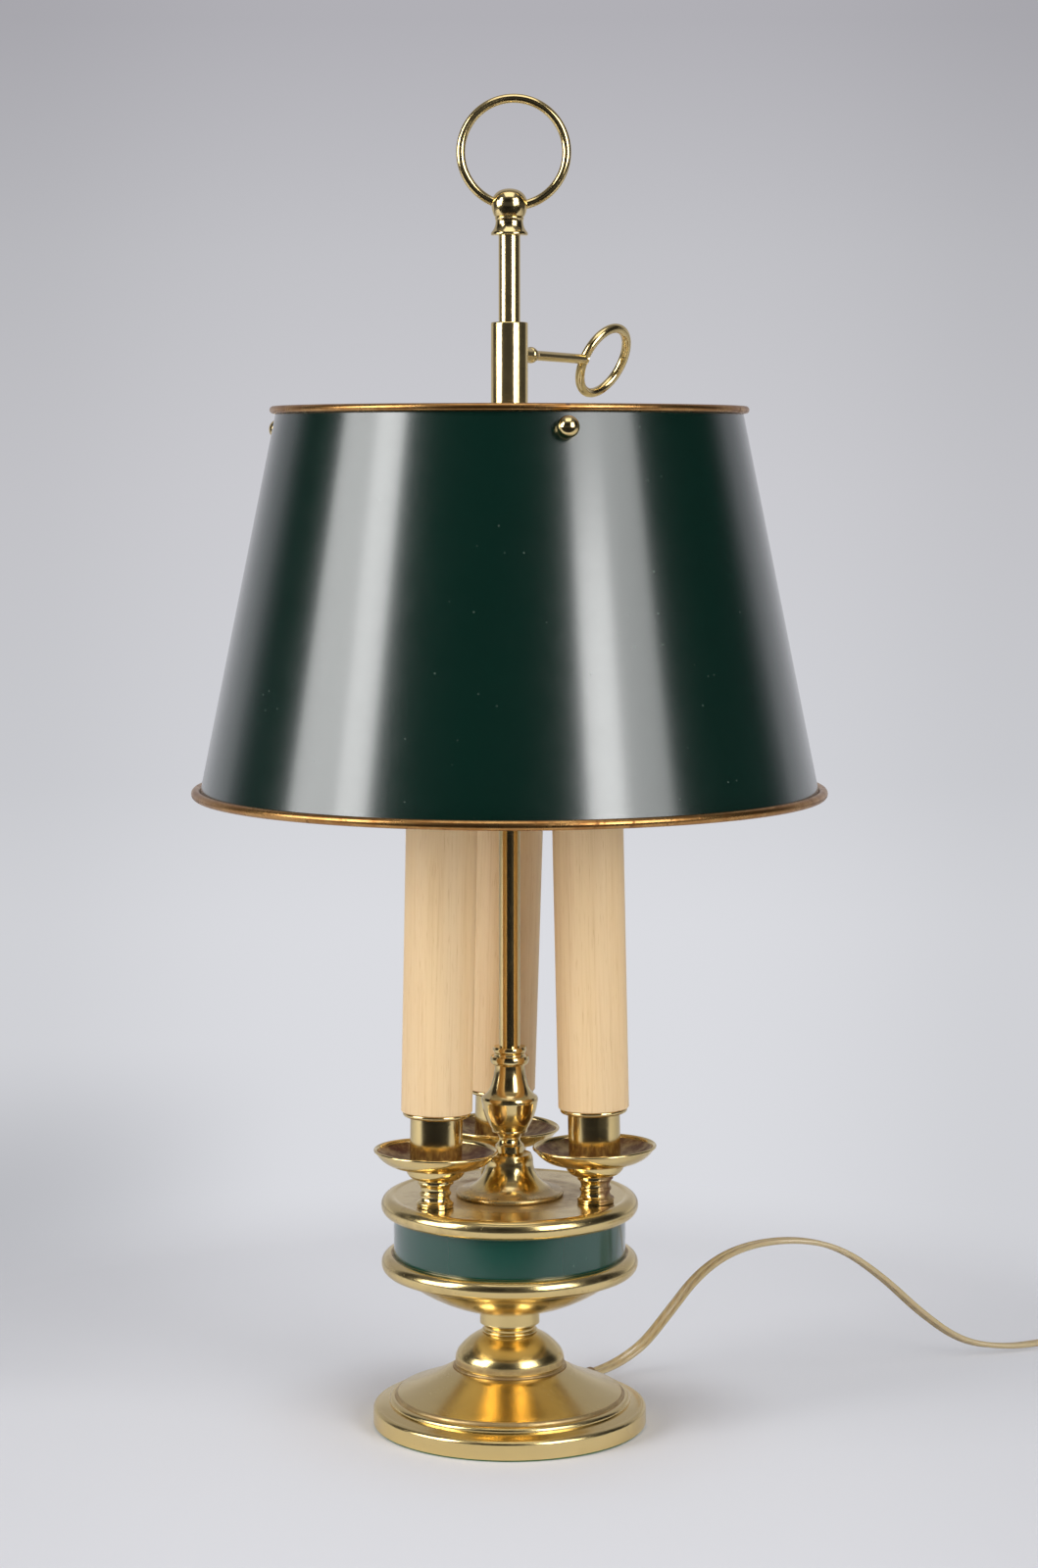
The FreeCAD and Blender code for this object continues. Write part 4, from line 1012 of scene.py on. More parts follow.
@dataclass
class Base:
    """Foot, knob and neck. Sizes in millimetres."""

    brass: Material
    felt: float = 0.8
    foot_radius: float = 61.8
    rim_height: float = 8.4
    rim_round: float = 2.0
    cone_radius: float = 51.4
    cone_edge: float = 13.6
    foot_height: float = 25.4
    sag: float = 1.0
    wall: float = 1.6
    knob_radius: float = 24.5
    knob_height: float = 16.0
    neck_radius: float = 13.5
    waist_radius: float = 11.5
    neck_height: float = 10.4
    pipe_hole: float = 5.2

    def foot(self) -> None:
        """Spun foot with its rim, cove, bead and cone."""
        z, rim, cone, curl, hole = self.felt, self.foot_radius, self.cone_radius, self.rim_round, self.pipe_hole
        top, edge, shoulder = z + self.foot_height, z + self.cone_edge, z + self.rim_height
        seat = self.knob_radius + 1.6
        turned("spun_foot", "foot", self.brass,
               (rim - self.wall, z), (rim - 0.15, z), (rim, z + 0.2), (rim, shoulder - curl),
               ((rim - 0.3 * curl, shoulder - 0.3 * curl), (rim - curl, shoulder)),
               ((cone + 6.6, shoulder + 0.6), (cone + 3.2, edge - 3.8)),
               ((cone + 2.8, edge - 2.0), (cone + 1.4, edge - 1.4)), (cone + 0.5, edge - 1.3),
               ((cone + 0.2, edge - 0.5), (cone - 0.5, edge + 0.1)),
               (((cone + seat) / 2, (edge + top) / 2 - self.sag), (seat, top)), (hole, top),
               (hole, top - self.wall), (self.knob_radius, top - self.wall),
               (cone - 1.0, edge - 1.4 - self.wall), (rim - self.wall, shoulder - self.wall - 0.3), segments=224)

    def knob(self) -> None:
        """Hollow domed knob with its small flange and groove."""
        z, r, hole = self.felt + self.foot_height, self.knob_radius, self.pipe_hole
        high = z + self.knob_height
        turned("domed_knob", "foot_knob", self.brass,
               (r - 2.0, z), (r + 0.9, z), ((r + 1.1, z + 0.5), (r + 0.7, z + 1.0)), (r - 0.1, z + 1.3),
               ((r + 0.1, z + 4.0), (r - 1.9, z + 8.6)), ((r - 6.1, z + 12.7), (self.waist_radius + 1.2, high)),
               (hole, high), (hole, high - 2.2), (self.waist_radius, high - 2.2),
               ((r - 5.6, z + 9.6), (r - 2.0, z + 5.0)))

    def neck(self) -> None:
        """Turned ring that carries the drum."""
        z, r, waist = self.felt + self.foot_height + self.knob_height, self.neck_radius, self.waist_radius
        turned("neck_collar", "neck_ring", self.brass,
               (self.pipe_hole, z), (waist + 0.6, z), ((waist + 1.0, z + 0.7), (waist + 0.5, z + 1.4)),
               (waist, z + 1.7), ((waist + 0.5, z + 3.3), (r - 0.1, z + 4.2)), ((r + 0.02, z + 4.4), (r, z + 4.7)),
               (r, z + self.neck_height), (self.pipe_hole, z + self.neck_height), segments=128)

    def build(self) -> None:
        """Make the three pieces."""
        self.foot()
        self.knob()
        self.neck()


@dataclass
class Drum:
    """Brass tray, green band and brass plate. Sizes in millimetres."""

    tray_brass: Material
    plate_brass: Material
    enamel: Material
    tray_z: float = 52.6
    neck_radius: float = 13.5
    band_radius: float = 52.3
    band_wall: float = 0.9
    band_height: float = 21.5
    ledge_height: float = 24.0
    bead: float = 4.45
    pitch: float = 53.5
    lip: float = 7.0
    wall: float = 1.6
    hole: float = 5.2
    running: float = 0.05

    def on_bead(self, level: float, degrees: float) -> Point:
        """Point on a bead's round."""
        angle = math.radians(degrees)
        return self.pitch + self.bead * math.cos(angle), level + self.bead * math.sin(angle)

    def build(self) -> None:
        """Make the three pieces."""
        seat, ledge = self.band_radius + self.running, self.band_radius - self.band_wall - 1.4
        angle = math.degrees(math.acos((seat - self.pitch) / self.bead))
        z, low = self.tray_z, self.tray_z + self.ledge_height
        high, level = low + self.band_height, low - 2.2
        start = self.on_bead(level, -125)
        turned("drum_tray_bowl", "drum_tray", self.tray_brass,
               (self.hole, z), (self.neck_radius, z), ((32.0, z + 5.7), (start[0] - 0.9, start[1] - 1.2)), start,
               (self.on_bead(level, 0), self.on_bead(level, angle)), (seat, low), (ledge, low),
               (ledge - 0.4, start[1] + 0.8), ((31.4, z + 7.6), (self.neck_radius - 0.6, z + self.wall)),
               (self.hole, z + self.wall), segments=224)
        inner, outer = self.band_radius - self.band_wall, self.band_radius
        turned("drum_band_sleeve", "drum_band", self.enamel, (inner, low), (outer, low), (outer, high),
               (inner, high), segments=224, slot=Slot.BAND)
        top = high + self.lip
        level = top - self.bead + 0.35
        rim = self.on_bead(level, 112)
        turned("drum_plate_top", "drum_plate", self.plate_brass,
               (self.hole, top), (rim[0] - 0.7, top), rim, (self.on_bead(level, 0), self.on_bead(level, -angle)),
               (seat, high), (ledge, high), (ledge, top - self.wall), (self.hole, top - self.wall), segments=224)


@dataclass
class Column:
    """Bell foot, baluster, rod and finial. Sizes in millimetres."""

    brass: Material
    bell_brass: Material
    plate_z: float = 105.1
    bell_radius: float = 24.3
    bell_top: float = 10.5
    bell_height: float = 19.0
    baluster_height: float = 48.6
    baluster_foot: float = 6.4
    baluster_radius: float = 12.7
    rod_radius: float = 4.76
    rod_shown: float = 360.1
    rod_bore: float = 4.81
    seat_depth: float = 12.0
    in_finial: float = 8.3
    finial_radius: float = 7.9
    finial_height: float = 20.4
    crown_radius: float = 10.9
    skirt_radius: float = 8.15
    ball_height: float = 13.6
    ring_height: float = 12.9
    ring_radius: float = 23.2
    ring_wire: float = 2.0
    ring_lean: float = 4.6

    @property
    def rod_z(self) -> float:
        """Height at which the rod shows above the baluster."""
        return self.plate_z + self.bell_height + self.baluster_height

    def bell(self) -> None:
        """Flared foot of the baluster."""
        z, r, top, high = self.plate_z, self.bell_radius, self.bell_top, self.plate_z + self.bell_height
        turned("bell_flare", "bell_foot", self.bell_brass,
               (r - 3.4, z), (r - 1.0, z), ((r, z + 1.2), (r - 1.1, z + 2.3)),
               ((14.4, z + 6.4), (top + 0.1, z + 15.0)), ((top - 0.2, high - 1.6), (top - 0.8, high - 0.2)),
               (top - 1.2, high), (5.2, high), (5.2, high - 1.6), (top - 2.8, high - 1.6),
               (top - 2.8, z + 15.0), ((12.2, z + 5.0), (r - 3.4, z + 0.05)), segments=128)

    def baluster(self) -> None:
        """Vase-shaped baluster with its rings."""
        z, r, top, foot = self.plate_z + self.bell_height, self.baluster_radius, self.rod_z, self.baluster_foot
        turned("vase_baluster", "baluster", self.brass,
               (0, z - 14.0), (3.35, z - 14.0), (3.35, z), (foot - 0.15, z), (foot, z + 0.2),
               (foot, z + 3.8), (foot - 0.2, z + 4.0), ((5.2, z + 5.2), (4.9, z + 7.6)), (5.9, z + 9.4),
               (7.3, z + 9.7), ((8.05, z + 10.2), (7.95, z + 11.0)), ((r - 1.9, z + 16.4), (r - 0.15, z + 23.2)),
               ((r + 0.05, z + 24.6), (r - 0.3, z + 26.0)), ((r - 3.0, z + 28.4), (8.1, z + 32.0)),
               ((7.2, z + 35.5), (6.7, z + 40.3)), ((7.6, z + 40.6), (8.3, z + 41.2)),
               ((8.65, z + 42.7), (8.3, z + 44.3)), ((6.8, z + 45.0), (7.2, z + 46.2)),
               ((7.5, z + 47.3), (7.1, top)), (self.rod_bore, top), (self.rod_bore, top - self.seat_depth),
               (0, top - self.seat_depth), segments=112)

    def rod(self) -> None:
        """Round rod that the shade slides on."""
        low, high = self.rod_z - self.seat_depth, self.rod_z + self.rod_shown + self.in_finial
        turned("centre_rod_bar", "centre_rod", self.brass, (0, low), (self.rod_radius, low),
               (self.rod_radius, high), (0, high), segments=72)

    def finial(self) -> None:
        """Ball on its flared skirt, and the ring through the ball."""
        z, r, skirt = self.rod_z + self.rod_shown, self.finial_radius, self.skirt_radius
        ball, top, edge = z + self.ball_height, z + self.finial_height, r - 4.6

        def crown(radius: float) -> Point:
            """Point on the ball's flattened top."""
            return radius, top - self.crown_radius + math.sqrt(self.crown_radius ** 2 - radius ** 2)

        turned("ball_finial", "finial_ball", self.brass,
               (self.rod_bore, z), (skirt - 0.6, z), ((skirt - 0.1, z + 0.2), (skirt, z + 0.6)),
               (skirt - 0.15, z + 1.3), ((6.7, z + 3.2), (6.05, z + 5.7)), ((6.1, z + 6.5), (6.3, z + 7.1)),
               ((6.4, z + 7.4), (6.35, z + 7.7)), (6.15, z + 8.0), (6.65, z + 8.3),
               ((r - 0.3, z + 10.9), (r, ball)), ((r - 1.26, ball + 3.9), crown(edge)), (crown(edge / 2), (0, top)),
               (0, z + self.in_finial), (self.rod_bore, z + self.in_finial), segments=96)
        place = (Matrix.Translation((0, 0, (z + self.ring_height) * MM))
                 @ Matrix.Rotation(math.radians(self.ring_lean), 4, "Y")
                 @ Matrix.Translation((0, 0, self.ring_radius * MM)) @ Matrix.Rotation(math.pi / 2, 4, "X"))
        ring = shown("lifting_ring", ring_mesh(self.ring_radius, self.ring_wire, place), self.brass)
        declare(ring, Body.LAMP, Slot.BRASS, "finial_ring")

    def build(self) -> None:
        """Make the pieces from the plate up."""
        self.bell()
        self.baluster()
        self.rod()
        self.finial()


@dataclass(frozen=True)
class ArmPlace:
    """Where arms of one height stand. Angles in degrees, lengths in millimetres."""

    sides: tuple[str, ...]
    first: float
    lean: float
    lean_to: float
    lift: float = 0.0

    @property
    def turn(self) -> Point:
        """Turn about the arm's own X and Y. lean_to is counted from the way outwards."""
        heading = math.radians(self.lean_to)
        return -self.lean * math.sin(heading), self.lean * math.cos(heading)


@dataclass
class CandleArms:
    """Three candle arms, each piece made once for every height. Sizes in millimetres."""

    array: RingArray
    brass: Material
    stem_brass: Material
    pan_brass: Material
    card: Material
    glass: Material
    places: tuple[ArmPlace, ...] = (
        ArmPlace(("left", "right"), 217.4, 1.4, 180.0), ArmPlace(("rear",), 97.4, 1.7, -97.4, -2.4))
    circle: float = 41.6
    plate_z: float = 105.1
    stem_radius: float = 8.1
    waist: float = 6.5
    stem_height: float = 12.4
    pan_radius: float = 27.6
    pan_height: float = 13.5
    pan_floor: float = 7.3
    cup_radius: float = 11.6
    lip_radius: float = 14.95
    lip_thick: float = 2.2
    cup_height: float = 23.4
    sleeve_radius: float = 15.75
    sleeve_wall: float = 1.3
    sleeve_length: float = 152.0
    bulb_radius: float = 17.5
    bulb_neck: float = 12.8
    bulb_length: float = 66.0
    bulb_wall: float = 0.9
    hole: float = 5.0

    def stem(self, top: float) -> tuple[Step, ...]:
        """Outline of a stem from the plate to a height above it."""
        r, waist = self.stem_radius, self.waist
        return ((self.hole, 0.3), (r, 0.25), (r, 1.3), ((r + 0.2, 1.9), (r - 0.4, 2.5)),
                ((waist + 0.2, 3.6), (waist, top - 6.8)), ((waist + 0.45, top - 6.6), (waist + 0.55, top - 6.0)),
                ((waist + 0.45, top - 5.4), (waist, top - 5.2)), ((waist + 0.1, top - 3.2), (r - 0.5, top - 1.8)),
                ((r - 0.1, top - 1.5), (r - 0.1, top - 1.0)), (r - 0.1, top), (self.hole, top))

    def pan(self, z: float) -> tuple[Step, ...]:
        """Outline of a drip pan that stands on a height."""
        pan, floor, rim = self.pan_radius, z + self.pan_floor, z + self.pan_height
        return ((self.hole, z), (self.stem_radius - 0.3, z), ((12.1, z + 2.0), (13.2, z + 5.0)),
                ((13.6, z + 5.5), (14.2, z + 5.8)), ((22.4, z + 7.6), (pan - 0.8, rim - 1.4)),
                ((pan, rim - 0.6), (pan - 0.7, rim)), ((pan - 1.4, rim - 0.5), (pan - 1.9, rim - 1.4)),
                ((21.4, z + 9.1), (14.0, floor)), (self.hole, floor))

    def cup(self, z: float) -> tuple[Step, ...]:
        """Outline of a candle cup that stands on a height."""
        cup, lip, wide = self.cup_radius, z + self.cup_height, self.lip_radius
        under = lip - self.lip_thick
        return ((self.hole, z), (cup, z), (cup, under), (wide - 0.8, under),
                ((wide, (under + lip) / 2), (wide - 0.6, lip)), (cup - 1.2, lip),
                (cup - 1.2, z + 1.2), (self.hole, z + 1.2))

    def sleeve(self, z: float) -> tuple[Step, ...]:
        """Outline of a candle sleeve that stands on a height."""
        top, r, bore = z + self.sleeve_length, self.sleeve_radius, self.sleeve_radius - self.sleeve_wall
        return (bore, z), (r - 0.2, z), (r, z + 0.3), (r, top - 0.4), (r - 0.4, top), (bore, top)

    def bulb(self, z: float) -> tuple[Step, ...]:
        """Outline of a bulb's glass that starts at a height."""
        neck, wide, wall, tip = self.bulb_neck, self.bulb_radius, self.bulb_wall, z + self.bulb_length
        shoulder = z + self.bulb_length * 0.7
        return ((neck, z), (neck, z + 1.5), ((wide - 0.5, z + 12.0), (wide, z + 22.0)),
                ((wide - 3.3, shoulder), (wide - 15.0, tip - 1.6)), ((wide - 16.3, tip - 0.35), (0, tip)),
                (0, tip - wall), ((0.6, tip - wall - 0.2), (wide - 15.9, tip - 2.4)),
                ((wide - 3.3 - wall, shoulder - 0.3), (wide - wall, z + 22.0)),
                ((wide - 0.5 - wall, z + 12.0), (neck - wall, z + 1.6)), (neck - wall, z))

    def build(self) -> None:
        """Make every piece of the arms, each on the one before."""
        for place in self.places:
            level = self.stem_height + place.lift
            for outline, node, slot, material, segments, rise in (
                    (self.stem, "stem", Slot.BRASS, self.stem_brass, 80, 0.0),
                    (self.pan, "drip_pan", Slot.BRASS, self.pan_brass, 128, self.pan_floor),
                    (self.cup, "candle_cup", Slot.BRASS, self.brass, 96, self.cup_height),
                    (self.sleeve, "candle_sleeve", Slot.CANDLE, self.card, 112, self.sleeve_length),
                    (self.bulb, "bulb_glass", Slot.GLASS, self.glass, 72, 0.0)):
                mesh = lathe_mesh(traced(*outline(level)), segments)
                piece = self.array.around(f"{'_'.join(place.sides)}_{node}s", mesh, material, len(place.sides),
                                          place.first, self.circle, self.plate_z, 120.0, place.turn)
                declare(piece, Body.LAMP, slot, *(f"{side}_{node}" for side in place.sides))
                level += rise


@dataclass
class Shade:
    """Cone shade with its rims, spider and ball nuts. Sizes in millimetres."""

    array: RingArray
    paint: Material
    lining: Material
    gilt: Material
    brass: Material
    top_z: float = 456.7
    height: float = 168.6
    top_radius: float = 102.6
    bottom_radius: float = 137.4
    thickness: float = 0.6
    top_bead: float = 1.6
    bottom_bead: float = 2.1
    bite: float = 0.3
    arms_below_top: float = 8.2
    first_arm: float = -77.0
    hub_radius: float = 12.5
    hub_height: float = 7.0
    hub_bore: float = 8.2
    arm_start: float = 9.2
    arm_radius: float = 2.0
    ball_radius: float = 4.7
    ball_out: float = 4.2
    ball_flat: float = 3.2
    stud_radius: float = 1.5
    stud_length: float = 4.9
    segments: int = 320
    steps: int = 24

    def radius_at(self, height: float) -> float:
        """Outer radius of the sheet at a height above the floor."""
        return self.top_radius + (self.bottom_radius - self.top_radius) * (self.top_z - height) / self.height

    def sheet(self) -> None:
        """Painted cone, pale inside."""
        z, top = self.top_z - self.height, self.top_z
        levels = [z + self.height * i / self.steps for i in range(self.steps + 1)]
        mesh = lathe_mesh([(self.bottom_radius - self.thickness, z), *((self.radius_at(at), at) for at in levels),
                           (self.top_radius - self.thickness, top)], self.segments)
        piece = shown("cone_shade", mesh, self.paint, self.lining)
        for polygon in mesh.polygons:
            polygon.material_index = int(polygon.normal.xy.dot(polygon.center.xy) < 0)
        declare(piece, Body.HEAD, Slot.SHADE, "shade")

    def rims(self) -> None:
        """Rolled rims at both ends."""
        for name, node, radius, bead, z in (
                ("top_rim_roll", "shade_top_rim", self.top_radius, self.top_bead, self.top_z),
                ("bottom_rim_roll", "shade_bottom_rim", self.bottom_radius, self.bottom_bead,
                 self.top_z - self.height)):
            mesh = ring_mesh(radius + bead - self.bite, bead, Matrix.Translation((0, 0, z * MM)), self.segments, 24)
            declare(shown(name, mesh, self.gilt), Body.HEAD, Slot.BRASS, node)

    def spider(self) -> None:
        """Hub and three arms that carry the shade, and the ball nuts outside it."""
        z, r, bore = self.top_z - self.arms_below_top, self.hub_radius, self.hub_bore
        wall = self.radius_at(z)
        low, high = z - self.hub_height / 2, z + self.hub_height / 2
        hub = lathe_mesh(traced((bore, low), (r - 0.6, low), (r, low + 0.6), (r, high - 0.6), (r - 0.6, high),
                                (bore, high)), 96)
        inside, outside = wall - self.thickness - self.arm_start, wall + self.stud_length - self.arm_start
        arm = bar_mesh([(0, 0), (self.arm_radius, 0), (self.arm_radius, inside), (self.stud_radius, inside),
                        (self.stud_radius, outside), (0, outside)], OUTWARDS * self.arm_start * MM, OUTWARDS, 32)
        arms = self.array.around("spider_rods", arm, self.brass, 3, self.first_arm, height=z)
        rods = arms.data.copy()
        bpy.data.objects.remove(arms, do_unlink=True)
        declare(joined("shade_spider", [hub, rods], self.brass), Body.HEAD, Slot.BRASS, "spider")
        r, flat = self.ball_radius, self.ball_flat
        ball = bar_mesh(traced((0, -flat), (math.sqrt(r * r - flat * flat), -flat), ((r, 0), (0, r))),
                        OUTWARDS * (wall + self.ball_out) * MM, OUTWARDS, 48)
        balls = self.array.around("ball_nuts", ball, self.brass, 3, self.first_arm, height=z)
        declare(balls, Body.HEAD, Slot.BRASS, "shade_ball_nuts")

    def build(self) -> None:
        """Make the shade and what carries it."""
        self.sheet()
        self.rims()
        self.spider()


@dataclass
class CollarAndKey:
    """Sliding collar with its boss, and the thumb key. Sizes in millimetres."""

    brass: Material
    top_z: float = 495.1
    length: float = 58.0
    radius: float = 8.15
    bore: float = 6.26
    chamfer: float = 0.8
    key_drop: float = 13.6
    azimuth: float = 56.0
    droop: float = 1.0
    boss_radius: float = 3.6
    boss_reach: float = 18.2
    shoulder: float = 2.6
    screw_radius: float = 2.5
    shank_radius: float = 2.2
    ring_radius: float = 16.2
    ring_wire: float = 2.15
    ring_reach: float = 76.7
    ring_roll: float = 64.1
    tip: float = 5.06

    def build(self) -> None:
        """Make the collar, the boss and the key."""
        low, high, r = self.top_z - self.length, self.top_z, self.radius
        turned("sliding_collar", "collar", self.brass, (self.bore, low), (r - 0.3, low), (r, low + 0.3),
               (r, high - self.chamfer), ((r - 0.2, high - 0.2), (r - self.chamfer, high)),
               (self.bore, high), segments=96, body=Body.HEAD)
        turn = (Matrix.Rotation(math.radians(self.azimuth), 4, "Z")
                @ Matrix.Rotation(math.radians(self.droop), 4, "Y"))
        heading = turn.to_3x3() @ OUTWARDS
        level = Vector((0, 0, (self.top_z - self.key_drop) * MM))
        wall, reach, r = self.radius - 1.0, self.boss_reach, self.boss_radius
        screw, rod, shank = self.screw_radius, self.shank_radius, self.ring_reach - self.ring_radius
        boss = bar_mesh(traced(
            (screw, wall), (r - 0.4, wall), (r - 0.5, reach - 2.8), ((r - 0.15, reach - 2.3), (r, reach - 1.6)),
            ((r - 0.1, reach - 0.6), (r - 0.5, reach)), (screw, reach)), level, heading, 64)
        declare(shown("key_boss_cup", boss, self.brass), Body.HEAD, Slot.BRASS, "key_boss")
        stem = bar_mesh(traced(
            (0, self.tip), (screw - 0.1, self.tip), (screw - 0.1, reach + 0.15), (screw + 0.7, reach + 0.15),
            ((screw + 0.1, reach + 1.4), (rod, reach + self.shoulder)), (rod, shank - 2.0),
            ((rod + 0.1, shank - 1.0), (rod + 0.7, shank)), (0, shank)), level, heading, 48)
        place = (Matrix.Translation(level + heading * self.ring_reach * MM) @ turn
                 @ Matrix.Rotation(-math.radians(self.ring_roll), 4, "X"))
        ring = ring_mesh(self.ring_radius, self.ring_wire, place, 112)
        declare(joined("thumb_key", [stem, ring], self.brass), Body.KEY, Slot.BRASS, "shade_key")


@dataclass
class SwitchWheel:
    """Knurled wheel of the inline switch. Sizes in millimetres."""

    moulding: Material
    array: RingArray
    centre: Place = (342.0, 132.1, 8.0)
    radius: float = 9.65
    thick: float = 4.4
    bore: float = 1.65
    ridge: float = 0.35
    ridges: int = 44

    def build(self) -> Piece:
        """Make the wheel with its ridges, and give it back for the cord that it is on."""
        half, r = self.thick / 2, self.radius
        disc = lathe_mesh(traced(
            (self.bore, -half), (r - 0.6, -half), (r, -half + 0.6), (r, half - 0.6), (r - 0.6, half),
            (3.2, half), (3.0, half - 0.5), (self.bore, half - 0.5)), 88)
        low, high = -half + 0.7, half - 0.7
        ridge = lathe_mesh(traced((0, low), (self.ridge, low), (self.ridge, high), (0, high)), 8)
        knurl = self.array.around("wheel_ridges", ridge, self.moulding, self.ridges, 0.0, radius=r - 0.05)
        knurls = knurl.data.copy()
        bpy.data.objects.remove(knurl, do_unlink=True)
        wheel = joined("knurled_wheel", [disc, knurls], self.moulding)
        wheel.data.transform(Matrix.Translation(Vector(self.centre) * MM))
        declare(wheel, Body.WHEEL, Slot.MOULDING, "switch_wheel")
        return wheel


@dataclass(frozen=True)
class Softbox:
    """Soft light that faces the lamp. Azimuth in degrees to the right of the camera, metres and watts."""

    name: str
    azimuth: float
    height: float
    away: float
    size: Point
    power: float
    aim: Place = (0.0, 0.0, 0.30)

    def build(self) -> None:
        """Make the light."""
        data = bpy.data.lights.new(self.name, "AREA")
        data.shape = "RECTANGLE"
        data.size, data.size_y = self.size
        data.energy = self.power
        light = bpy.data.objects.new(self.name, data)
        angle = math.radians(self.azimuth)
        light.location = (self.away * math.sin(angle), -self.away * math.cos(angle), self.height)
        light.rotation_euler = (Vector(self.aim) - light.location).to_track_quat("-Z", "Y").to_euler()
        bpy.context.scene.collection.objects.link(light)


@dataclass
class Studio:
    """Pale floor and backdrop, soft lights and the camera. Sizes in metres."""

    camera_place: Place = (0.0042, -1.462, 0.43717)
    look_down: float = 5.705
    lens: float = 75.68
    sensor: float = 36.0
    floor_half: float = 3.4
    bend_start: float = 1.5
    bend_radius: float = 1.0
    bend_steps: int = 24
    wall_height: float = 4.0
    boxes: tuple[Softbox, ...] = (
        Softbox("left_outer_box", -76.0, 0.80, 2.0, (0.70, 0.95), 11.0),
        Softbox("left_inner_box", -58.5, 1.15, 2.0, (0.52, 1.5), 21.0),
        Softbox("right_inner_box", 35.5, 1.15, 2.0, (0.52, 1.5), 9.5),
        Softbox("right_low_box", 35.5, 0.75, 1.95, (0.50, 0.7), 6.5),
        Softbox("right_outer_box", 52.5, 1.15, 2.0, (0.67, 1.5), 12.0),
        Softbox("top_box", 0.0, 2.4, 0.5, (1.6, 1.6), 10.0))
    # Glow colour by height: pale at the floor and painted darker up the wall, where less light falls.
    painted_wall_falloff: tuple[tuple[float, Place], ...] = (
        (0.0, (219, 220, 225)), (0.1, (211, 212, 217)), (0.4, (204, 204, 209)), (0.67, (194, 194, 199)),
        (0.95, (177, 176, 182)))

    def camera(self) -> None:
        """Camera at the photograph's place."""
        data = bpy.data.cameras.new("studio_camera")
        data.lens = self.lens
        data.sensor_fit = "VERTICAL"
        data.sensor_height = self.sensor
        data.clip_start = 0.05
        camera = bpy.data.objects.new("studio_camera", data)
        camera.location = self.camera_place
        camera.rotation_euler = (math.radians(90 - self.look_down), 0, 0)
        bpy.context.scene.collection.objects.link(camera)
        bpy.context.scene.camera = camera

    def backdrop_paper(self) -> Material:
        """Pale paper: lit near the lamp, glowing further off and in reflections above the floor. The glow is painted
        darker up the wall and to the sides, with a painted shadow on the left floor and painted fill light round the
        foot, and the floor is painted dark before the lamp in reflections.
        """
        paper = Surface("backdrop_paper")
        across, depth, height = paper.parts_of_place()
        path = paper.node("ShaderNodeLightPath")
        mirrored = path["Is Glossy Ray"].greatest(path["Is Transmission Ray"])
        distance = (across ** 2.0 + depth ** 2.0) ** 0.5
        # Painted falloff: the glow's colour darkens with height up the wall.
        ramp = paper.node("ShaderNodeValToRGB", None, {0: height})
        stops = ramp.node.color_ramp.elements
        for place, colour in self.painted_wall_falloff:
            stop = stops[0] if place == 0.0 else stops.new(place)
            stop.color = linear(colour)
        stops.remove(stops[-1])
        # Painted shade: the glow is made up to 11 % darker towards the sides.
        painted_side_falloff = (across / (depth.greatest(0.0) + 1.46)) ** 2.0
        tone = paper.mix(painted_side_falloff.between(0.0, 0.024) * 0.11, ramp[0], linear((0, 0, 0)))
        # Painted shadow: a soft darker patch on the floor to the left of the lamp, painted into the glow.
        painted_left_shadow = across.between(-0.12, -0.32) * depth.between(1.0, 0.4) * depth.between(0.0, 0.1)
        tone = paper.mix(painted_left_shadow, tone, linear((186, 187, 192)))
        # Painted reflection: this colour is pale paper to all rays except glossy and transmission rays before the
        # lamp, where the floor is painted dark in place of a dark room.
        card = paper.mix(depth.between(-0.30, -0.42) * mirrored, linear((235, 235, 239)), linear((36, 36, 38)))
        # Painted fill light: from just outside the foot, up to half of the floor that the camera sees is the glow,
        # lifting the lamp's real shadows there; beyond half a metre it is all glow.
        near = distance.between(0.066, 0.14) * 0.5
        share = (distance.between(0.2, 0.5).greatest(near) * path["Is Camera Ray"]).greatest(
            height.between(0.002, 0.25) * mirrored)
        paper.node("ShaderNodeOutputMaterial", None, {"Surface": paper.node("ShaderNodeMixShader", None, {
            0: share, 1: paper.node("ShaderNodeBsdfDiffuse", None, {"Color": card}),
            2: paper.node("ShaderNodeEmission", None, {"Color": tone, "Strength": 1.0})})})
        return paper.material

    def backdrop(self) -> None:
        """Floor that bends up into a wall behind the lamp."""
        half, start, bend = self.floor_half, self.bend_start, self.bend_radius
        angles = [math.pi / 2 * i / self.bend_steps for i in range(self.bend_steps + 1)]
        line = [(-half, 0.0), *((start + bend * math.sin(angle), bend * (1 - math.cos(angle))) for angle in angles),
                (start + bend, self.wall_height)]
        mesh = bpy.data.meshes.new("backdrop")
        mesh.from_pydata([(side * half, y, z) for y, z in line for side in (-1, 1)], [],
                         [(2 * i, 2 * i + 1, 2 * i + 3, 2 * i + 2) for i in range(len(line) - 1)])
        mesh.shade_smooth()
        shown("backdrop", mesh, self.backdrop_paper())

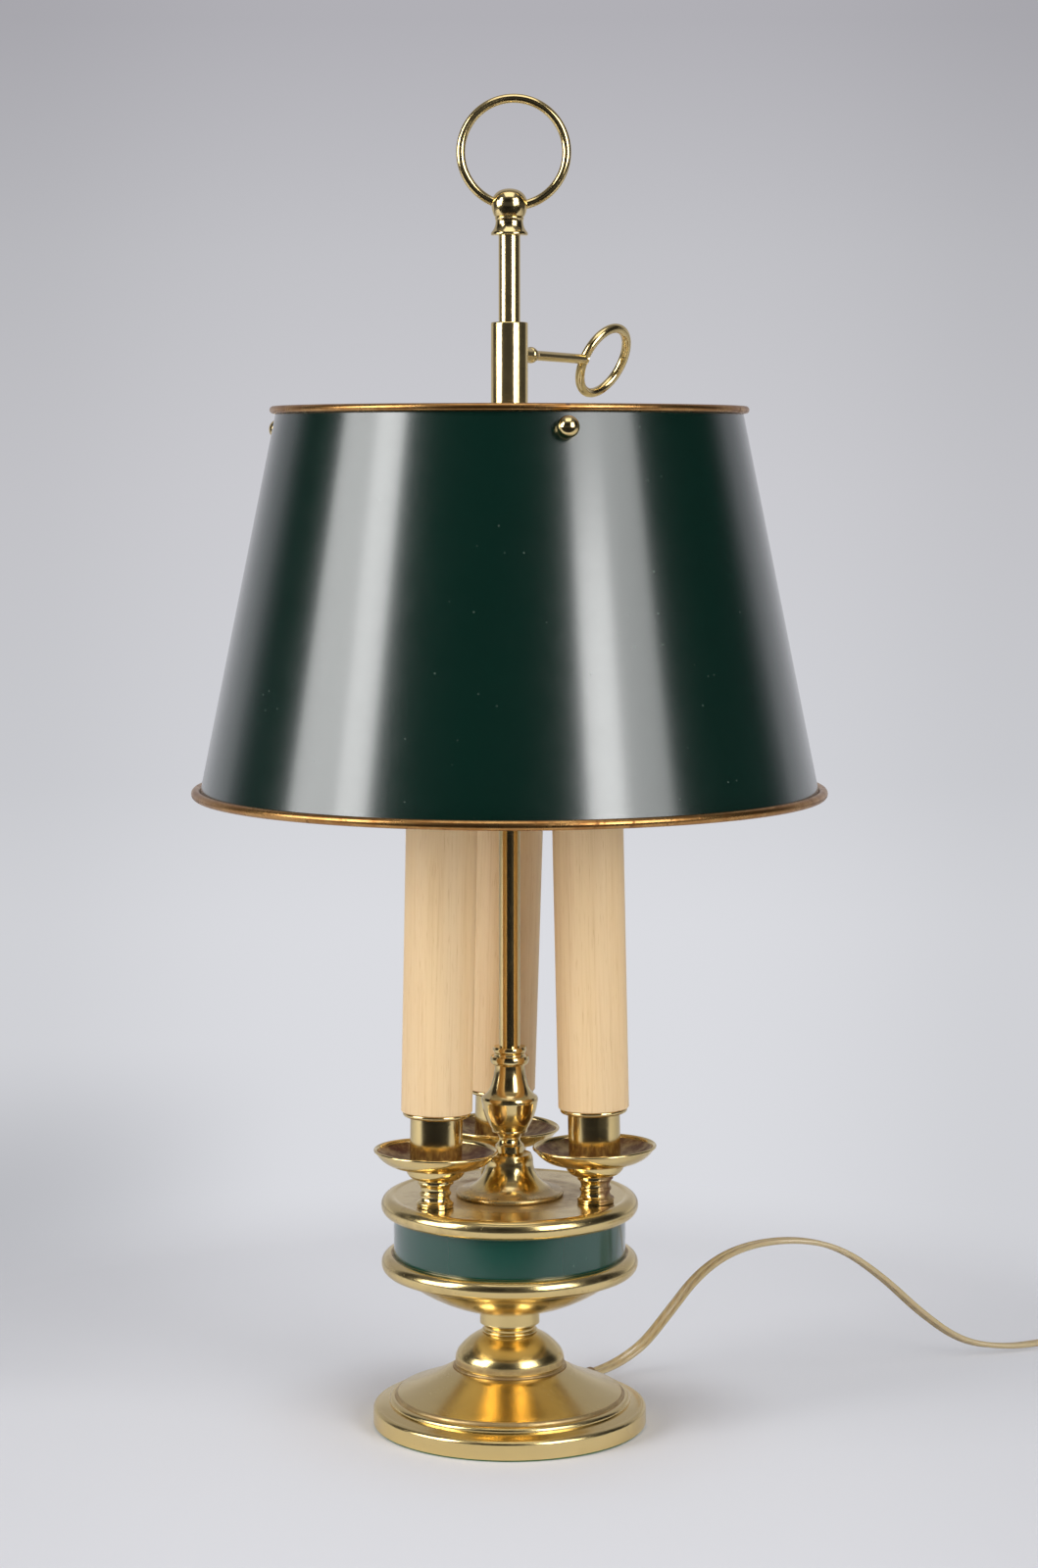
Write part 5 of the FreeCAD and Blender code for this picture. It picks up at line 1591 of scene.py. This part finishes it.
    def world(self) -> None:
        """Pale to the camera, pale behind and dim in front to the lamp."""
        world = bpy.data.worlds.new("studio_world")
        bpy.context.scene.world = world
        world.use_nodes = True
        sky = Graph(world.node_tree)
        heading = sky.node("ShaderNodeSeparateXYZ", None, {0: sky.node("ShaderNodeTexCoord")["Generated"]})
        low = sky.mix(heading[2].between(0.06, 0.24), linear((66, 66, 70)), linear((30, 30, 32)))
        dim = sky.mix(heading[2].between(0.5, 0.95), low, linear((120, 120, 126)))
        room = sky.mix(heading[1].between(0.35, 0.8), dim, linear((196, 196, 203)))
        colour = sky.mix(sky.node("ShaderNodeLightPath")["Is Camera Ray"], room, linear((208, 209, 214)))
        back = sky.node("ShaderNodeBackground", None, {"Color": colour, "Strength": 1.0})
        sky.node("ShaderNodeOutputWorld", None, {"Surface": back})

    def build(self) -> None:
        """Make the stage."""
        self.backdrop()
        for box in self.boxes:
            box.build()
        self.world()
        bpy.context.scene.view_settings.view_transform = "Standard"


def main() -> None:
    """Build the lamp's looks in order."""
    logging.basicConfig(level=logging.INFO, format="%(name)s: %(message)s")
    studio = Studio()
    studio.camera()
    gold = Moulding("gold_brown_moulding", (150, 116, 62)).build()
    array = RingArray()
    FlatCord(ClearVinyl().build(), gold, SwitchWheel(gold, array).build()).build()
    studio.build()

    brass = PolishedBrass("polished_brass_body").build()
    Base(PolishedBrass("polished_brass_foot", 0.2, 0.12, 0.5, (
        Aged(Measure.RADIUS, 50.9, 52.0, 0.4, 0.6), Aged(Measure.RADIUS, 24.7, 25.7, 0.3, 0.7))).build()).build()
    Drum(PolishedBrass("polished_brass_tray", 0.17, 0.3, 0.9, (
        Aged(Measure.RADIUS, 51.0, 53.2, 0.8, 0.6),)).build(),
         PolishedBrass("polished_brass_plate", 0.17, 0.4, 0.8, (
             Aged(Measure.RADIUS, 22.0, 32.0, 9.0, 0.5),)).build(),
         Enamel("band_green_enamel", (2, 71, 57), 0.16, 0.12, coat=1.0, coat_roughness=0.13).build()).build()
    Column(brass, PolishedBrass("polished_brass_bell", 0.15, 0.6, 1.0, (
        Aged(Measure.RADIUS, 19.0, 26.0, 3.0, 0.4),)).build()).build()
    CandleArms(array, brass,
               PolishedBrass("polished_brass_stems", cloud=0.25, dark_zones=(
                   Aged(Measure.ACROSS, 41.0, 60.0, 2.0, 1.0),)).build(),
               PolishedBrass("polished_brass_pans", dark_zones=(
                   Aged(Measure.OUTLINE, 32.0, 44.0, 1.2, 0.9),), tarnish_colour=(104, 62, 46)).build(),
               CandleCard().build(), FrostedGlass().build()).build()
    Shade(array, Enamel("shade_green_enamel", (3, 36, 27), 0.18, 0.2, coat=0.95, coat_roughness=0.16).build(),
          Enamel("shade_lining_white", (226, 222, 208), 0.45, 0.2, 0.0).build(), GiltPaint().build(), brass).build()
    CollarAndKey(brass).build()

    dress(Felt().build(), "felt_pad")
    dress(BareMetal("black_casting", (40, 40, 40), 0.6, 0.5, 300.0).build(), "base_weight")
    dress(BareMetal("zinc_plate", (186, 186, 182), 1.0, 0.25, 700.0).build(),
          "threaded_pipe", "pipe_nut_and_washer", "arm_nipples", "arm_nuts")
    sides = ("left", "right", "rear")
    dress(BareMetal("screw_cap", (206, 204, 198), 1.0, 0.18, 500.0).build(), *(f"{side}_bulb_base" for side in sides))
    dress(Moulding("black_socket", (30, 29, 28)).build(), *(f"{side}_lamp_socket" for side in sides))
    dress(gold, "cord_bushing", "switch_upper", "switch_lower", "plug_body")
    dress(ClearVinyl("inner_cord_vinyl").build(), "inner_cord")
    dress(brass, "plug_blades", "guide_bushes")


if __name__ == "__main__":
    main()
